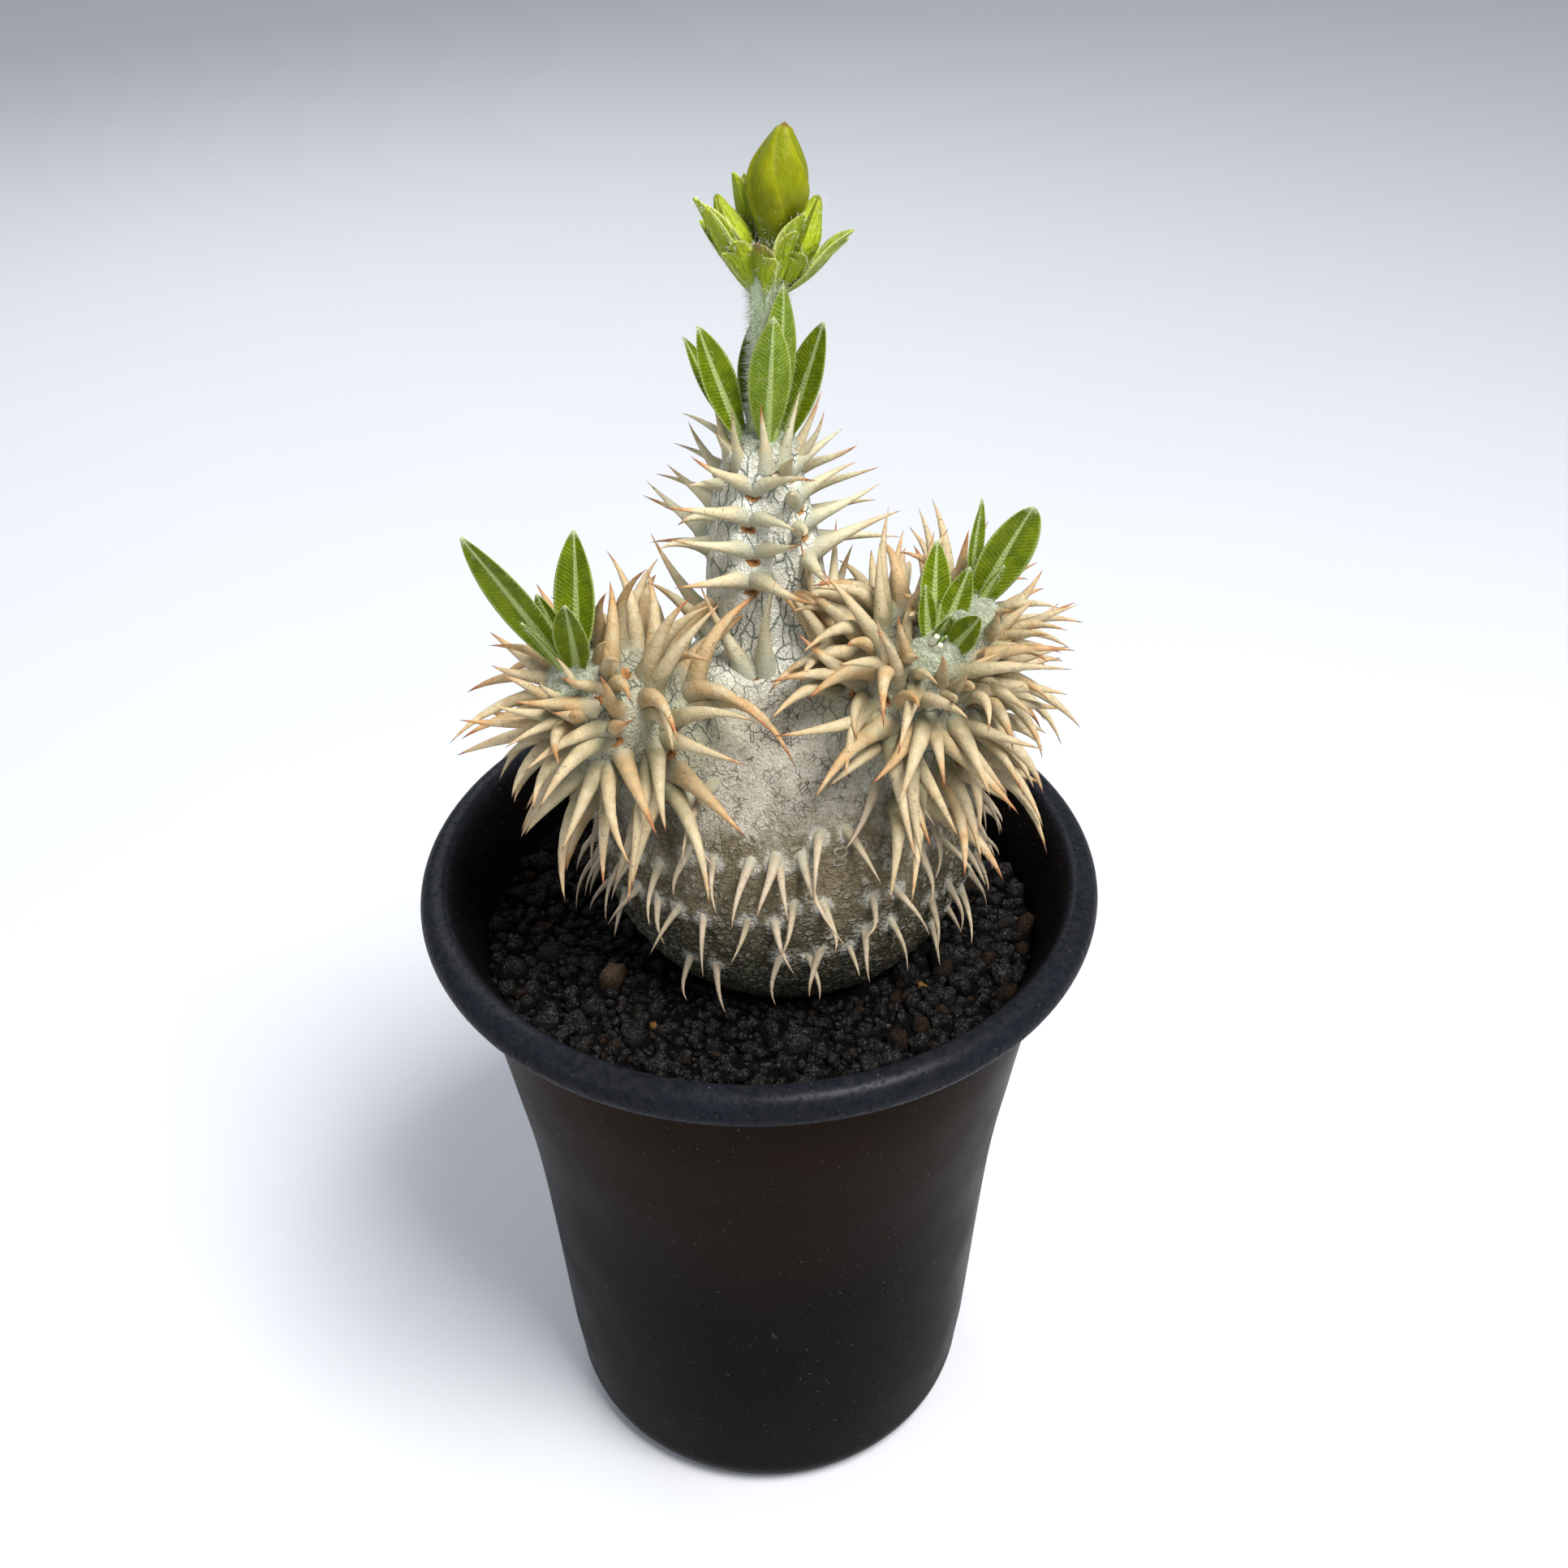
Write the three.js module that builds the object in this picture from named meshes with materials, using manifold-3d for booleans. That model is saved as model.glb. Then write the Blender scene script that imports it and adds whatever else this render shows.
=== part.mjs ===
// Potted Pachypodium enigmaticum: a spiny caudex plant in a round plastic pot.
// Millimetres, +Z up, origin at the centre of the pot's foot. The plant's front faces -Y.

import * as THREE from "three";
import { mergeVertices } from "three/addons/utils/BufferGeometryUtils.js";
import Module from "manifold-3d";

const wasm = await Module();
wasm.setup();

// Pot
const POT_HEIGHT = 116;
const RIM_RADIUS = 52.5;
const LIP_HALF_WIDTH = 3;
const POT_WALL = 1.6;
const FOOT_RADIUS = 31.6;
const FOOT_WIDTH = 3;
const FOOT_HEIGHT = 3;
const CORNER_WIDTH = 4.5;
const CORNER_HEIGHT = 7;
const DRAIN_RADIUS = 6;
const NOTCH_WIDTH = 13;
const NOTCH_ANGLES = [-47, 133];
const POT_SEGMENTS = 32;
const CORNER_STEPS = 2;
const LIP_ANGLES = [-120, -55, 0, 45, 90, 135, 180];
// Outer wall above the bottom corner, as [radius, height]
const WALL_LINE = [[36.9, 15], [39.5, 58], [42.4, 81], [44.4, 95], [45.7, 109.6]];

// Soil
const SOIL_TOP = 103;
const SOIL_RELIEF = 1.2;
// Two waves over the soil, each a sine times a cosine of x, y and a shift
const BROAD_WAVE = { share: 0.35, sine: [0.31, 0, 1.2], cosine: [0, 0.27, -0.4] };
const RUBBLE_WAVE = { share: 0.65, sine: [2.9, 1.7, 0], cosine: [-2.1, 3.3, 0] };
const SOIL_INNER = 14;
const SOIL_RINGS = 7;
const SOIL_WALL_HEIGHTS = [81, 58, 12];
const SOIL_WALL_GAP = 0.4;
const GRAIN_COUNT = 22;
const GRAIN_SMALLEST = 1.6;
const GRAIN_LARGEST = 3.2;
const GRAIN_FLATNESS = 0.8;

// Hole in the soil that the foot of the globe and the root stand in
const HOLE_HEIGHTS = [109, 103, 99, 95, 91, 86, 80];
const HOLE_BOTTOM = { radius: 3.4, height: 76 };
const HOLE_SEGMENTS = 24;
const FACET_ALLOWANCE = 0.3;

// Woody body. Each stem runs from inside the globe to its growing tip.
const GLOBE_CENTRE = [4.5, 3, 122.5];
const GLOBE_RADII = [29.3, 29.3, 28.5];
const ROOT = { points: [[4.5, 3, 102], [4.5, 3, 84]], radii: [14, 7] };
const NECK = {
  points: [[4, 3.5, 142], [2.4, 5, 156], [1.7, 5.3, 167], [1.5, 5.4, 174.5], [1.8, 5.4, 180.6]],
  radii: [13, 9, 8, 6.4, 5],
};
const LEFT_BRANCH = {
  points: [[-6, -1, 136], [-14.5, -7, 146], [-20, -11.6, 152.8], [-23.2, -14.6, 157]],
  radii: [13, 10.4, 8.2, 5.2],
};
const RIGHT_FRONT = {
  points: [[12, -1, 136], [18.5, -6.5, 146.5], [21.9, -10.8, 153.6], [23.4, -13.2, 158]],
  radii: [13, 10.4, 8, 5],
};
const RIGHT_BACK = {
  points: [[18.5, -5, 147], [25, -7.5, 156], [28.5, -9.7, 162.2]],
  radii: [9.6, 7.8, 4.8],
};
const FILLET = 7;
const FORK_FILLET = 4;
const SKIN_CELL = 5.5;
const BODY_BOX = { low: [-38, -36, 75], high: [46, 38, 193] };

// Spines stand in pairs at nodes that spiral down from each tip
const GOLDEN_ANGLE = 137.5;
const TWO_FIFTHS = 144;
const SPINE_SIDES = 3;
const SPINE_SUNK = 2.2;
const SPINE_FLARE = 1.25;
const SPINE_TAPER = 1.6;
const SPINE_BEND = 0.45;
const NECK_SPINES = {
  nodes: 24, first: 3.2, pitch: 0.88, divergence: TWO_FIFTHS, start: -88, jitter: 8,
  pairGap: 3.4, spread: 0.95, lift: [0.9, 0.05], droop: [-0.1, 0.12],
  length: [7.5, 12.5], radius: [0.9, 1.3], stations: [0, 0.45],
};
const COLLAR_SPINES = {
  nodes: 5, first: 29, pitch: 0.9, divergence: TWO_FIFTHS, start: -88, jitter: 8,
  pairGap: 3.6, spread: 0.35, lift: [1.1, 1.1], droop: [-0.3, -0.3],
  length: [14, 14], radius: [1.4, 1.4], stations: [0, 0.45],
};
const HEAD_SPINES = {
  nodes: 19, first: 2.4, pitch: 1.02, divergence: GOLDEN_ANGLE, start: -70, jitter: 8,
  pairGap: 3.8, spread: 0.5, lift: [1.1, -0.2], droop: [0.05, 1],
  length: [9, 16.5], radius: [1, 1.45], stations: [0, 0.34, 0.7],
};
const GLOBE_SPINES = {
  nodes: 39, highest: 0.68, lowest: -0.26, divergence: GOLDEN_ANGLE, start: -92, jitter: 14,
  pairGap: 4.2, spread: 0.4, lift: [-0.8, -1], droop: [1.4, 1.6],
  length: [13, 8], radius: [1.35, 0.8], stations: [0, 0.45],
};
// How much each spine of a pair may differ from its rule
const SPINE_VARIETY = {
  length: 0.3, radius: 0.16, lift: 0.3, spread: 0.35, droop: 0.35, parting: 0.2, drift: 0.4,
};
const SEED_STEP = 10;
// Nodes whose root would lie in the fork between two stems are left out
const FARTHEST_ROOT = { share: 1.7, extra: 2 };
const GLOBE_FARTHEST_ROOT = 1.2;

// Leaves: tip is measured from the stem's tip, width across the blade
const BLADE_THICKNESS = 0.7;
const MIDRIB_THICKNESS = 1.1;
const BLADE_FOOT_SHARE = 0.3;
const BLADE_SKEW = 1.15;
const BLADE_FULLNESS = 0.8;
const WAVE_SHARE = 0.006;
const WAVE_TURN = 7;
const LEAF_FORM = { bow: -0.9, fold: 0.22, stations: [0, 0.18, 0.45, 0.72, 0.92] };
const BRACT_FORM = { fold: 0.4, stations: [0, 0.3, 0.62, 0.88] };
const CENTRE_LEAVES = [
  { tip: [1.3, -5.3, 17.5], width: 5.8 },
  { tip: [2.7, -3, 21], width: 5.4 },
  { tip: [-1.3, 4.2, 13], width: 4.6 },
  { tip: [-8.4, -4.3, 16.2], width: 4.8 },
  { tip: [-10.3, 0.6, 12.8], width: 3.8 },
  { tip: [7.9, -2.3, 15.5], width: 4.8 },
  { tip: [3.4, 5.4, 11.5], width: 4.2 },
];
const LEFT_LEAVES = [
  { tip: [-10.5, -2, 23], width: 5.4 },
  { tip: [2.6, 8, 18.2], width: 6 },
  { tip: [-2.6, 3.4, 11.5], width: 3.6 },
  { tip: [1.6, -3, 13.3], width: 5 },
];
const RIGHT_FRONT_LEAVES = [
  { tip: [-0.6, 6.5, 13.3], width: 4.4 },
  { tip: [-2.6, 1.2, 9.6], width: 2.8 },
  { tip: [3.5, 3.5, 10.8], width: 4 },
  { tip: [4.3, -2.9, 7], width: 4.2 },
  { tip: [0.6, -1.6, 6.6], width: 2.6 },
];
const RIGHT_BACK_LEAVES = [
  { tip: [5.7, 1, 14.4], width: 7 },
  { tip: [-0.6, 3.6, 14.5], width: 3.2 },
  { tip: [2.4, 4.6, 8], width: 3.4 },
];
// The round core that holds a tuft's leaves, sunk in the stem's end
const TUFT_CORE = { radius: 2.2, ring: 1, sunk: 2.6 };
const CENTRE_CORE = { radius: 3.4, ring: 2.5, sunk: 2.9 };
// A dodecahedron's faces lie closer to its centre than its corners by this
const CORE_GROWTH = 1.3;
const TUFTS = {
  leaf_tuft_centre: { stem: NECK, leaves: CENTRE_LEAVES, core: CENTRE_CORE },
  leaf_tuft_left: { stem: LEFT_BRANCH, leaves: LEFT_LEAVES, core: TUFT_CORE },
  leaf_tuft_right_front: { stem: RIGHT_FRONT, leaves: RIGHT_FRONT_LEAVES, core: TUFT_CORE },
  leaf_tuft_right_back: { stem: RIGHT_BACK, leaves: RIGHT_BACK_LEAVES, core: TUFT_CORE },
};

// Flower stalk, its bracts and its bud
const STALK_FOOT = [1.8, 5.4, 185.2];
const STALK_TOP = [2.8, 5.2, 206.6];
const STALK_RADII = [2.1, 1.9, 2.1, 3];
const STALK_SIDES = 10;
const BUD_FOOT = [3, 5.2, 207];
const BUD_TOP = [5.2, 5, 225.6];
const BUD_STATIONS = [0, 0.14, 0.3, 0.44, 0.58, 0.72, 0.86, 0.95];
const BUD_RADII = [1.3, 1.5, 2.3, 3.4, 4.05, 3.6, 2.2, 1.1];
const BUD_SIDES = 15;
const BUD_FOLDS = 5;
const BUD_FOLD_DEPTH = 0.09;
const BUD_TWIST = 1.5;
// The folds rise to their full depth over the first third of the bud
const BUD_FOLD_RISE = 3;
const SIDE_BUD_SIDES = 8;
const SIDE_BUD_STATIONS = [0, 0.25, 0.55, 0.85];
// The share of a side bud's length that its bracts close round
const BRACT_HEART = 0.6;
// Groups of bracts. Those with a bud of their own wrap it, and the others wrap the main bud.
const BRACTS = {
  bract_cluster_left: {
    bud: { foot: [0.9, 5.2, 205.6], tip: [-3.4, 5.4, 217], radii: [0.9, 1.9, 2.4, 1] },
    blades: [
      { foot: [1, 5, 205.4], tip: [-5.6, 4.4, 217.4], width: 4.6, bow: -2.2 },
      { foot: [1.3, 4.4, 206], tip: [-1.6, 1.8, 212.9], width: 3, bow: -0.8 },
      { foot: [1.2, 5.8, 206], tip: [-4.4, 8.4, 214.5], width: 3.6, bow: -1.4 },
    ],
  },
  bract_cluster_right: {
    bud: { foot: [4.7, 5.2, 205.6], tip: [9.4, 5.2, 216.6], radii: [0.9, 2, 2.5, 1.2] },
    blades: [
      { foot: [4.8, 5, 205.4], tip: [12.9, 4.6, 213.2], width: 4.8, bow: -2.4 },
      { foot: [4.6, 4.4, 206], tip: [7.2, 1.6, 211.4], width: 2.8, bow: -0.8 },
      { foot: [4.6, 5.8, 206], tip: [9, 8.6, 215], width: 3.6, bow: -1.4 },
    ],
  },
  bract_cluster_back: {
    bud: { foot: [2.2, 6.8, 206.2], tip: [0.2, 8.8, 218.4], radii: [0.8, 1.5, 1.5, 0.7] },
    blades: [{ foot: [2.4, 6.4, 206], tip: [-0.7, 7.4, 219.4], width: 2.8, bow: -0.9 }],
  },
  bract_pair_front: {
    blades: [
      { foot: [2.6, 3.4, 205.4], tip: [2, 1.4, 212.8], width: 3, bow: -0.7 },
      { foot: [3.6, 3.6, 206.2], tip: [6.9, 1.9, 216], width: 3.8, bow: -1.2 },
    ],
  },
  bract_back: {
    blades: [{ foot: [3.6, 6.6, 206], tip: [4.8, 9.6, 216.4], width: 3.6, bow: -1 }],
  },
};

// Clearances between pieces that touch
const SEAT_GAP = 0.3;
const MERGE_DISTANCE = 1e-4;
// A clearance may cut off a scrap of up to this many cubic millimetres, which is left out
const LARGEST_SCRAP = 1;

const COLOURS = {
  pot: { color: 0x17181a, roughness: 0.5, metalness: 0 },
  soil: { color: 0x1a1715, roughness: 0.95, metalness: 0 },
  bark: { color: 0xb3a98c, roughness: 0.85, metalness: 0 },
  leaf: { color: 0x5e8424, roughness: 0.6, metalness: 0 },
  stalk: { color: 0xa9b98a, roughness: 0.8, metalness: 0 },
  bract: { color: 0x93b23d, roughness: 0.65, metalness: 0 },
  bud: { color: 0xb4bf2a, roughness: 0.55, metalness: 0 },
};

const UP = new THREE.Vector3(0, 0, 1);
const vec = (place) => new THREE.Vector3(...place);
const mix = (a, b, t) => a + (b - a) * t;
const radians = (degrees) => degrees * Math.PI / 180;

// A repeatable number from 0 to 1 for a whole number
function chance(seed) {
  const wave = Math.sin(seed * 12.9898 + 4.1) * 43758.5453;
  return wave - Math.floor(wave);
}

// Solids

// A closed geometry as a solid, turned so that its faces point out
function solidOf(geometry) {
  const shape = new THREE.BufferGeometry();
  shape.setAttribute("position", geometry.attributes.position);
  shape.setIndex(geometry.index);
  const merged = mergeVertices(shape, MERGE_DISTANCE);
  const corners = merged.index.array;
  const triangles = [];
  for (let i = 0; i < corners.length; i += 3) {
    const [a, b, c] = [corners[i], corners[i + 1], corners[i + 2]];
    if (a !== b && b !== c && c !== a) triangles.push(a, b, c);
  }
  const places = merged.attributes.position.array;
  if (signedVolume(places, triangles) < 0) triangles.reverse();
  return new wasm.Manifold(new wasm.Mesh({
    numProp: 3,
    vertProperties: new Float32Array(places),
    triVerts: new Uint32Array(triangles),
  }));
}

function signedVolume(places, triangles) {
  const at = (k) => new THREE.Vector3().fromArray(places, 3 * k);
  let volume = 0;
  for (let i = 0; i < triangles.length; i += 3) {
    const [a, b, c] = [at(triangles[i]), at(triangles[i + 1]), at(triangles[i + 2])];
    volume += a.dot(b.cross(c)) / 6;
  }
  return volume;
}

// The one connected body of a piece, without scraps
function mainBody(name, solid) {
  const [main, ...rest] = solid.decompose().sort((a, b) => b.volume() - a.volume());
  const lost = rest.filter((body) => body.volume() > LARGEST_SCRAP);
  if (lost.length > 0) throw new Error(`${name} is in ${lost.length + 1} bodies`);
  return main;
}

function meshOf(name, solid, colour) {
  const data = mainBody(name, solid).getMesh();
  const geometry = new THREE.BufferGeometry();
  geometry.setAttribute("position", new THREE.BufferAttribute(data.vertProperties, 3));
  geometry.setIndex(new THREE.BufferAttribute(data.triVerts, 1));
  geometry.computeVertexNormals();
  const mesh = new THREE.Mesh(geometry, new THREE.MeshStandardMaterial(COLOURS[colour]));
  mesh.name = name;
  return mesh;
}

// A closed skin through rings of points. A ring of one point is a tip, and another end ring is capped.
function loft(rings) {
  const starts = [];
  const points = [];
  for (const ring of rings) {
    starts.push(points.length);
    points.push(...ring);
  }
  const triangles = [];
  for (let r = 0; r + 1 < rings.length; r += 1) {
    const low = rings[r].length;
    const high = rings[r + 1].length;
    const count = Math.max(low, high);
    for (let i = 0; i < count; i += 1) {
      const j = (i + 1) % count;
      const [a, b] = [starts[r] + i % low, starts[r] + j % low];
      const [c, d] = [starts[r + 1] + i % high, starts[r + 1] + j % high];
      if (low > 1) triangles.push(a, b, d);
      if (high > 1) triangles.push(a, d, c);
    }
  }
  capRing(triangles, starts[0], rings[0].length, false);
  capRing(triangles, starts.at(-1), rings.at(-1).length, true);
  const geometry = new THREE.BufferGeometry().setFromPoints(points);
  geometry.setIndex(triangles);
  return solidOf(geometry);
}

function capRing(triangles, start, count, top) {
  for (let i = 1; i + 1 < count; i += 1) {
    const [b, c] = top ? [start + i, start + i + 1] : [start + i + 1, start + i];
    triangles.push(start, b, c);
  }
}

// Two directions square to an axis and to each other
function squareTo(axis) {
  const helper = Math.abs(axis.z) < 0.9 ? UP : new THREE.Vector3(1, 0, 0);
  const side = new THREE.Vector3().crossVectors(helper, axis).normalize();
  return [side, new THREE.Vector3().crossVectors(axis, side)];
}

// Points of a round ring, with radiusAt giving the radius at each angle
function roundRing(centre, axis, sides, radiusAt) {
  const [side, other] = squareTo(axis);
  return Array.from({ length: sides }, (_, i) => {
    const angle = 2 * Math.PI * i / sides;
    const radius = radiusAt(angle);
    return centre.clone()
      .addScaledVector(side, radius * Math.cos(angle))
      .addScaledVector(other, radius * Math.sin(angle));
  });
}

// Pot

function potProfile() {
  const corner = (inset, low) => Array.from({ length: CORNER_STEPS + 1 }, (_, i) => {
    const angle = Math.PI / 2 * i / CORNER_STEPS;
    return [
      FOOT_RADIUS - inset + CORNER_WIDTH * Math.sin(angle),
      low + (CORNER_HEIGHT - low) * (1 - Math.cos(angle)),
    ];
  });
  const lip = LIP_ANGLES.map((degrees) => [
    RIM_RADIUS - LIP_HALF_WIDTH + LIP_HALF_WIDTH * Math.cos(radians(degrees)),
    POT_HEIGHT - LIP_HALF_WIDTH + LIP_HALF_WIDTH * Math.sin(radians(degrees)),
  ]);
  const floor = FOOT_HEIGHT + POT_WALL;
  const inside = WALL_LINE.map(([radius, height]) => [radius - POT_WALL, height]).reverse();
  return [
    [DRAIN_RADIUS, FOOT_HEIGHT],
    [FOOT_RADIUS - FOOT_WIDTH, FOOT_HEIGHT],
    [FOOT_RADIUS - FOOT_WIDTH, 0],
    ...corner(0, 0),
    ...WALL_LINE,
    ...lip,
    ...inside,
    ...corner(POT_WALL, floor).reverse(),
    [DRAIN_RADIUS, floor],
    [DRAIN_RADIUS, FOOT_HEIGHT],
  ];
}

function makePot() {
  const profile = potProfile().map(([radius, height]) => new THREE.Vector2(radius, height));
  let pot = solidOf(lathe(profile, POT_SEGMENTS));
  for (const angle of NOTCH_ANGLES) {
    const notch = new THREE.BoxGeometry(4 * FOOT_WIDTH, NOTCH_WIDTH, 2 * FOOT_HEIGHT);
    notch.translate(FOOT_RADIUS + FOOT_WIDTH, 0, 0);
    notch.rotateZ(radians(angle));
    pot = pot.subtract(solidOf(notch));
  }
  return pot;
}

// A profile of radius and height turned about the Z axis
function lathe(profile, segments) {
  return new THREE.LatheGeometry(profile, segments).rotateX(Math.PI / 2);
}

// Soil

// The height of the rough top: a broad wave with rubble over it
function soilHeight(x, y) {
  const turn = ([perX, perY, shift]) => x * perX + y * perY + shift;
  const wave = ({ share, sine, cosine }) => share * Math.sin(turn(sine)) * Math.cos(turn(cosine));
  return SOIL_TOP + SOIL_RELIEF * (wave(BROAD_WAVE) + wave(RUBBLE_WAVE));
}

function innerWallRadius(height) {
  const line = [[FOOT_RADIUS + CORNER_WIDTH, CORNER_HEIGHT], ...WALL_LINE];
  const k = line.findIndex((point) => point[1] >= height);
  const [low, high] = [line[k - 1], line[k]];
  const share = (height - low[1]) / (high[1] - low[1]);
  return mix(low[0], high[0], share) - POT_WALL;
}

function makeSoil() {
  const floor = FOOT_HEIGHT + POT_WALL + SEAT_GAP;
  const wallPoint = (height) => new THREE.Vector2(innerWallRadius(height) - SOIL_WALL_GAP, height);
  const rim = wallPoint(SOIL_TOP).x;
  const top = Array.from({ length: SOIL_RINGS + 1 }, (_, i) => {
    return new THREE.Vector2(mix(SOIL_INNER, rim, i / SOIL_RINGS), SOIL_TOP);
  });
  const profile = [
    new THREE.Vector2(0, SOIL_TOP),
    ...top,
    ...SOIL_WALL_HEIGHTS.map(wallPoint),
    new THREE.Vector2(FOOT_RADIUS - POT_WALL - 2 * SEAT_GAP, floor),
    new THREE.Vector2(0, floor),
  ];
  const geometry = lathe(profile, POT_SEGMENTS);
  const places = geometry.attributes.position;
  for (let i = 0; i < places.count; i += 1) {
    const [x, y, z] = [places.getX(i), places.getY(i), places.getZ(i)];
    const onTop = Math.abs(z - SOIL_TOP) < MERGE_DISTANCE;
    if (onTop && Math.hypot(x, y) < rim - SEAT_GAP) places.setZ(i, soilHeight(x, y));
  }
  return solidOf(geometry).add(wasm.Manifold.union(grains())).subtract(caudexHole());
}

// Coarse grains half sunk in the soil, spread by the golden angle
function grains() {
  const inner = GLOBE_RADII[0] - GRAIN_LARGEST;
  const outer = innerWallRadius(SOIL_TOP) - GRAIN_LARGEST - 2 * SEAT_GAP;
  const solids = [];
  for (let i = 0; i < GRAIN_COUNT; i += 1) {
    const angle = radians(i * GOLDEN_ANGLE);
    const reach = Math.sqrt(mix(SOIL_INNER ** 2, outer ** 2, (i + 0.5) / GRAIN_COUNT));
    const [x, y] = [reach * Math.cos(angle), reach * Math.sin(angle)];
    if (Math.hypot(x - GLOBE_CENTRE[0], y - GLOBE_CENTRE[1]) < inner) continue;
    const size = mix(GRAIN_SMALLEST, GRAIN_LARGEST, chance(i) ** 2);
    const grain = new THREE.IcosahedronGeometry(size, 0);
    grain.rotateX(6 * chance(i + 100)).rotateY(6 * chance(i + 200));
    grain.scale(1, mix(GRAIN_FLATNESS, 1, chance(i + 300)), GRAIN_FLATNESS);
    grain.translate(x, y, soilHeight(x, y));
    solids.push(solidOf(grain));
  }
  return solids;
}

// A plain round hole, wider than the skin by the seat gap and what its facets take
function caudexHole() {
  const wall = HOLE_HEIGHTS.map((height) => {
    return new THREE.Vector2(skinRadius(height) + SEAT_GAP + FACET_ALLOWANCE, height);
  });
  const profile = [
    new THREE.Vector2(0, HOLE_HEIGHTS[0]),
    ...wall,
    new THREE.Vector2(HOLE_BOTTOM.radius, HOLE_BOTTOM.height),
    new THREE.Vector2(0, HOLE_BOTTOM.height),
  ];
  return solidOf(lathe(profile, HOLE_SEGMENTS).translate(GLOBE_CENTRE[0], GLOBE_CENTRE[1], 0));
}

function skinRadius(height) {
  const from = new THREE.Vector3(GLOBE_CENTRE[0], GLOBE_CENTRE[1], height);
  return marchOut(from, new THREE.Vector3(1, 0, 0)).distance;
}

// Woody body, as a distance field that is negative inside

function smoothMin(a, b, width) {
  const h = Math.max(width - Math.abs(a - b), 0) / width;
  return Math.min(a, b) - h * h * width / 4;
}

function globeField(p) {
  const [cx, cy, cz] = GLOBE_CENTRE;
  const [rx, ry, rz] = GLOBE_RADII;
  const [x, y, z] = [(p.x - cx) / rx, (p.y - cy) / ry, (p.z - cz) / rz];
  const near = Math.hypot(x, y, z);
  const steep = Math.hypot(x / rx, y / ry, z / rz);
  return near < 1e-6 ? -Math.min(rx, ry, rz) : near * (near - 1) / steep;
}

function stemField(p, stem) {
  let nearest = Infinity;
  for (let i = 0; i + 1 < stem.points.length; i += 1) {
    const start = vec(stem.points[i]);
    const along = vec(stem.points[i + 1]).sub(start);
    const offset = p.clone().sub(start);
    const share = THREE.MathUtils.clamp(offset.dot(along) / along.lengthSq(), 0, 1);
    const radius = mix(stem.radii[i], stem.radii[i + 1], share);
    nearest = Math.min(nearest, offset.addScaledVector(along, -share).length() - radius);
  }
  return nearest;
}

function bodyField(p) {
  const right = smoothMin(stemField(p, RIGHT_FRONT), stemField(p, RIGHT_BACK), FORK_FILLET);
  let field = smoothMin(globeField(p), stemField(p, ROOT), FILLET);
  field = smoothMin(field, stemField(p, NECK), FILLET);
  field = smoothMin(field, stemField(p, LEFT_BRANCH), FILLET);
  return smoothMin(field, right, FILLET);
}

function bodyNormal(p) {
  const step = 0.05;
  const slope = (axis) => {
    const ahead = p.clone();
    const behind = p.clone();
    ahead[axis] += step;
    behind[axis] -= step;
    return (bodyField(ahead) - bodyField(behind)) / (2 * step);
  };
  return new THREE.Vector3(slope("x"), slope("y"), slope("z"));
}

// The first point outside the body on the way from an inner point
function marchOut(from, direction) {
  const step = 0.3;
  const farthest = 80;
  const halvings = 12;
  let distance = 0;
  const at = (reach) => from.clone().addScaledVector(direction, reach);
  while (bodyField(at(distance)) < 0 && distance < farthest) distance += step;
  let [low, high] = [distance - step, distance];
  for (let i = 0; i < halvings; i += 1) {
    const middle = (low + high) / 2;
    if (bodyField(at(middle)) < 0) low = middle;
    else high = middle;
  }
  return { point: at(high), distance: high };
}

// The body's closed skin: one vertex in each cell that the field's zero passes, four cells to a face
function bodySkin() {
  const { low, high } = BODY_BOX;
  const counts = [0, 1, 2].map((k) => Math.ceil((high[k] - low[k]) / SKIN_CELL) + 1);
  const [nx, ny, nz] = counts;
  const index = (i, j, k) => (k * ny + j) * nx + i;
  const place = (...cell) => new THREE.Vector3(...cell.map((n, axis) => low[axis] + n * SKIN_CELL));
  const values = new Float64Array(nx * ny * nz);
  eachCell(counts, (i, j, k) => {
    values[index(i, j, k)] = bodyField(place(i, j, k));
  });
  const vertexOf = new Map();
  const points = [];
  eachCell([nx - 1, ny - 1, nz - 1], (i, j, k) => {
    const crossings = cellCrossings(values, index, place, i, j, k);
    if (crossings.length === 0) return;
    const mean = crossings.reduce((sum, p) => sum.add(p), new THREE.Vector3());
    vertexOf.set(index(i, j, k), points.length);
    points.push(settle(mean.divideScalar(crossings.length)));
  });
  const triangles = [];
  eachCell(counts, (i, j, k) => {
    addFaces(triangles, values, index, vertexOf, [i, j, k], counts);
  });
  const geometry = new THREE.BufferGeometry().setFromPoints(points);
  geometry.setIndex(triangles);
  return solidOf(geometry);
}

function eachCell([nx, ny, nz], visit) {
  for (let k = 0; k < nz; k += 1) {
    for (let j = 0; j < ny; j += 1) {
      for (let i = 0; i < nx; i += 1) visit(i, j, k);
    }
  }
}

function cellCrossings(values, index, place, i, j, k) {
  const crossings = [];
  for (let a = 0; a < 8; a += 1) {
    for (const bit of [1, 2, 4]) {
      if (a & bit) continue;
      const b = a | bit;
      const from = [i + (a & 1), j + (a >> 1 & 1), k + (a >> 2)];
      const to = [i + (b & 1), j + (b >> 1 & 1), k + (b >> 2)];
      const [u, v] = [values[index(...from)], values[index(...to)]];
      if (u < 0 !== v < 0) crossings.push(place(...from).lerp(place(...to), u / (u - v)));
    }
  }
  return crossings;
}

// Moves a vertex on to the field's zero
function settle(point) {
  const turns = 3;
  const leastSlope = 0.2;
  for (let turn = 0; turn < turns; turn += 1) {
    const slope = bodyNormal(point);
    point.addScaledVector(slope, -bodyField(point) / Math.max(slope.lengthSq(), leastSlope));
  }
  return point;
}

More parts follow.
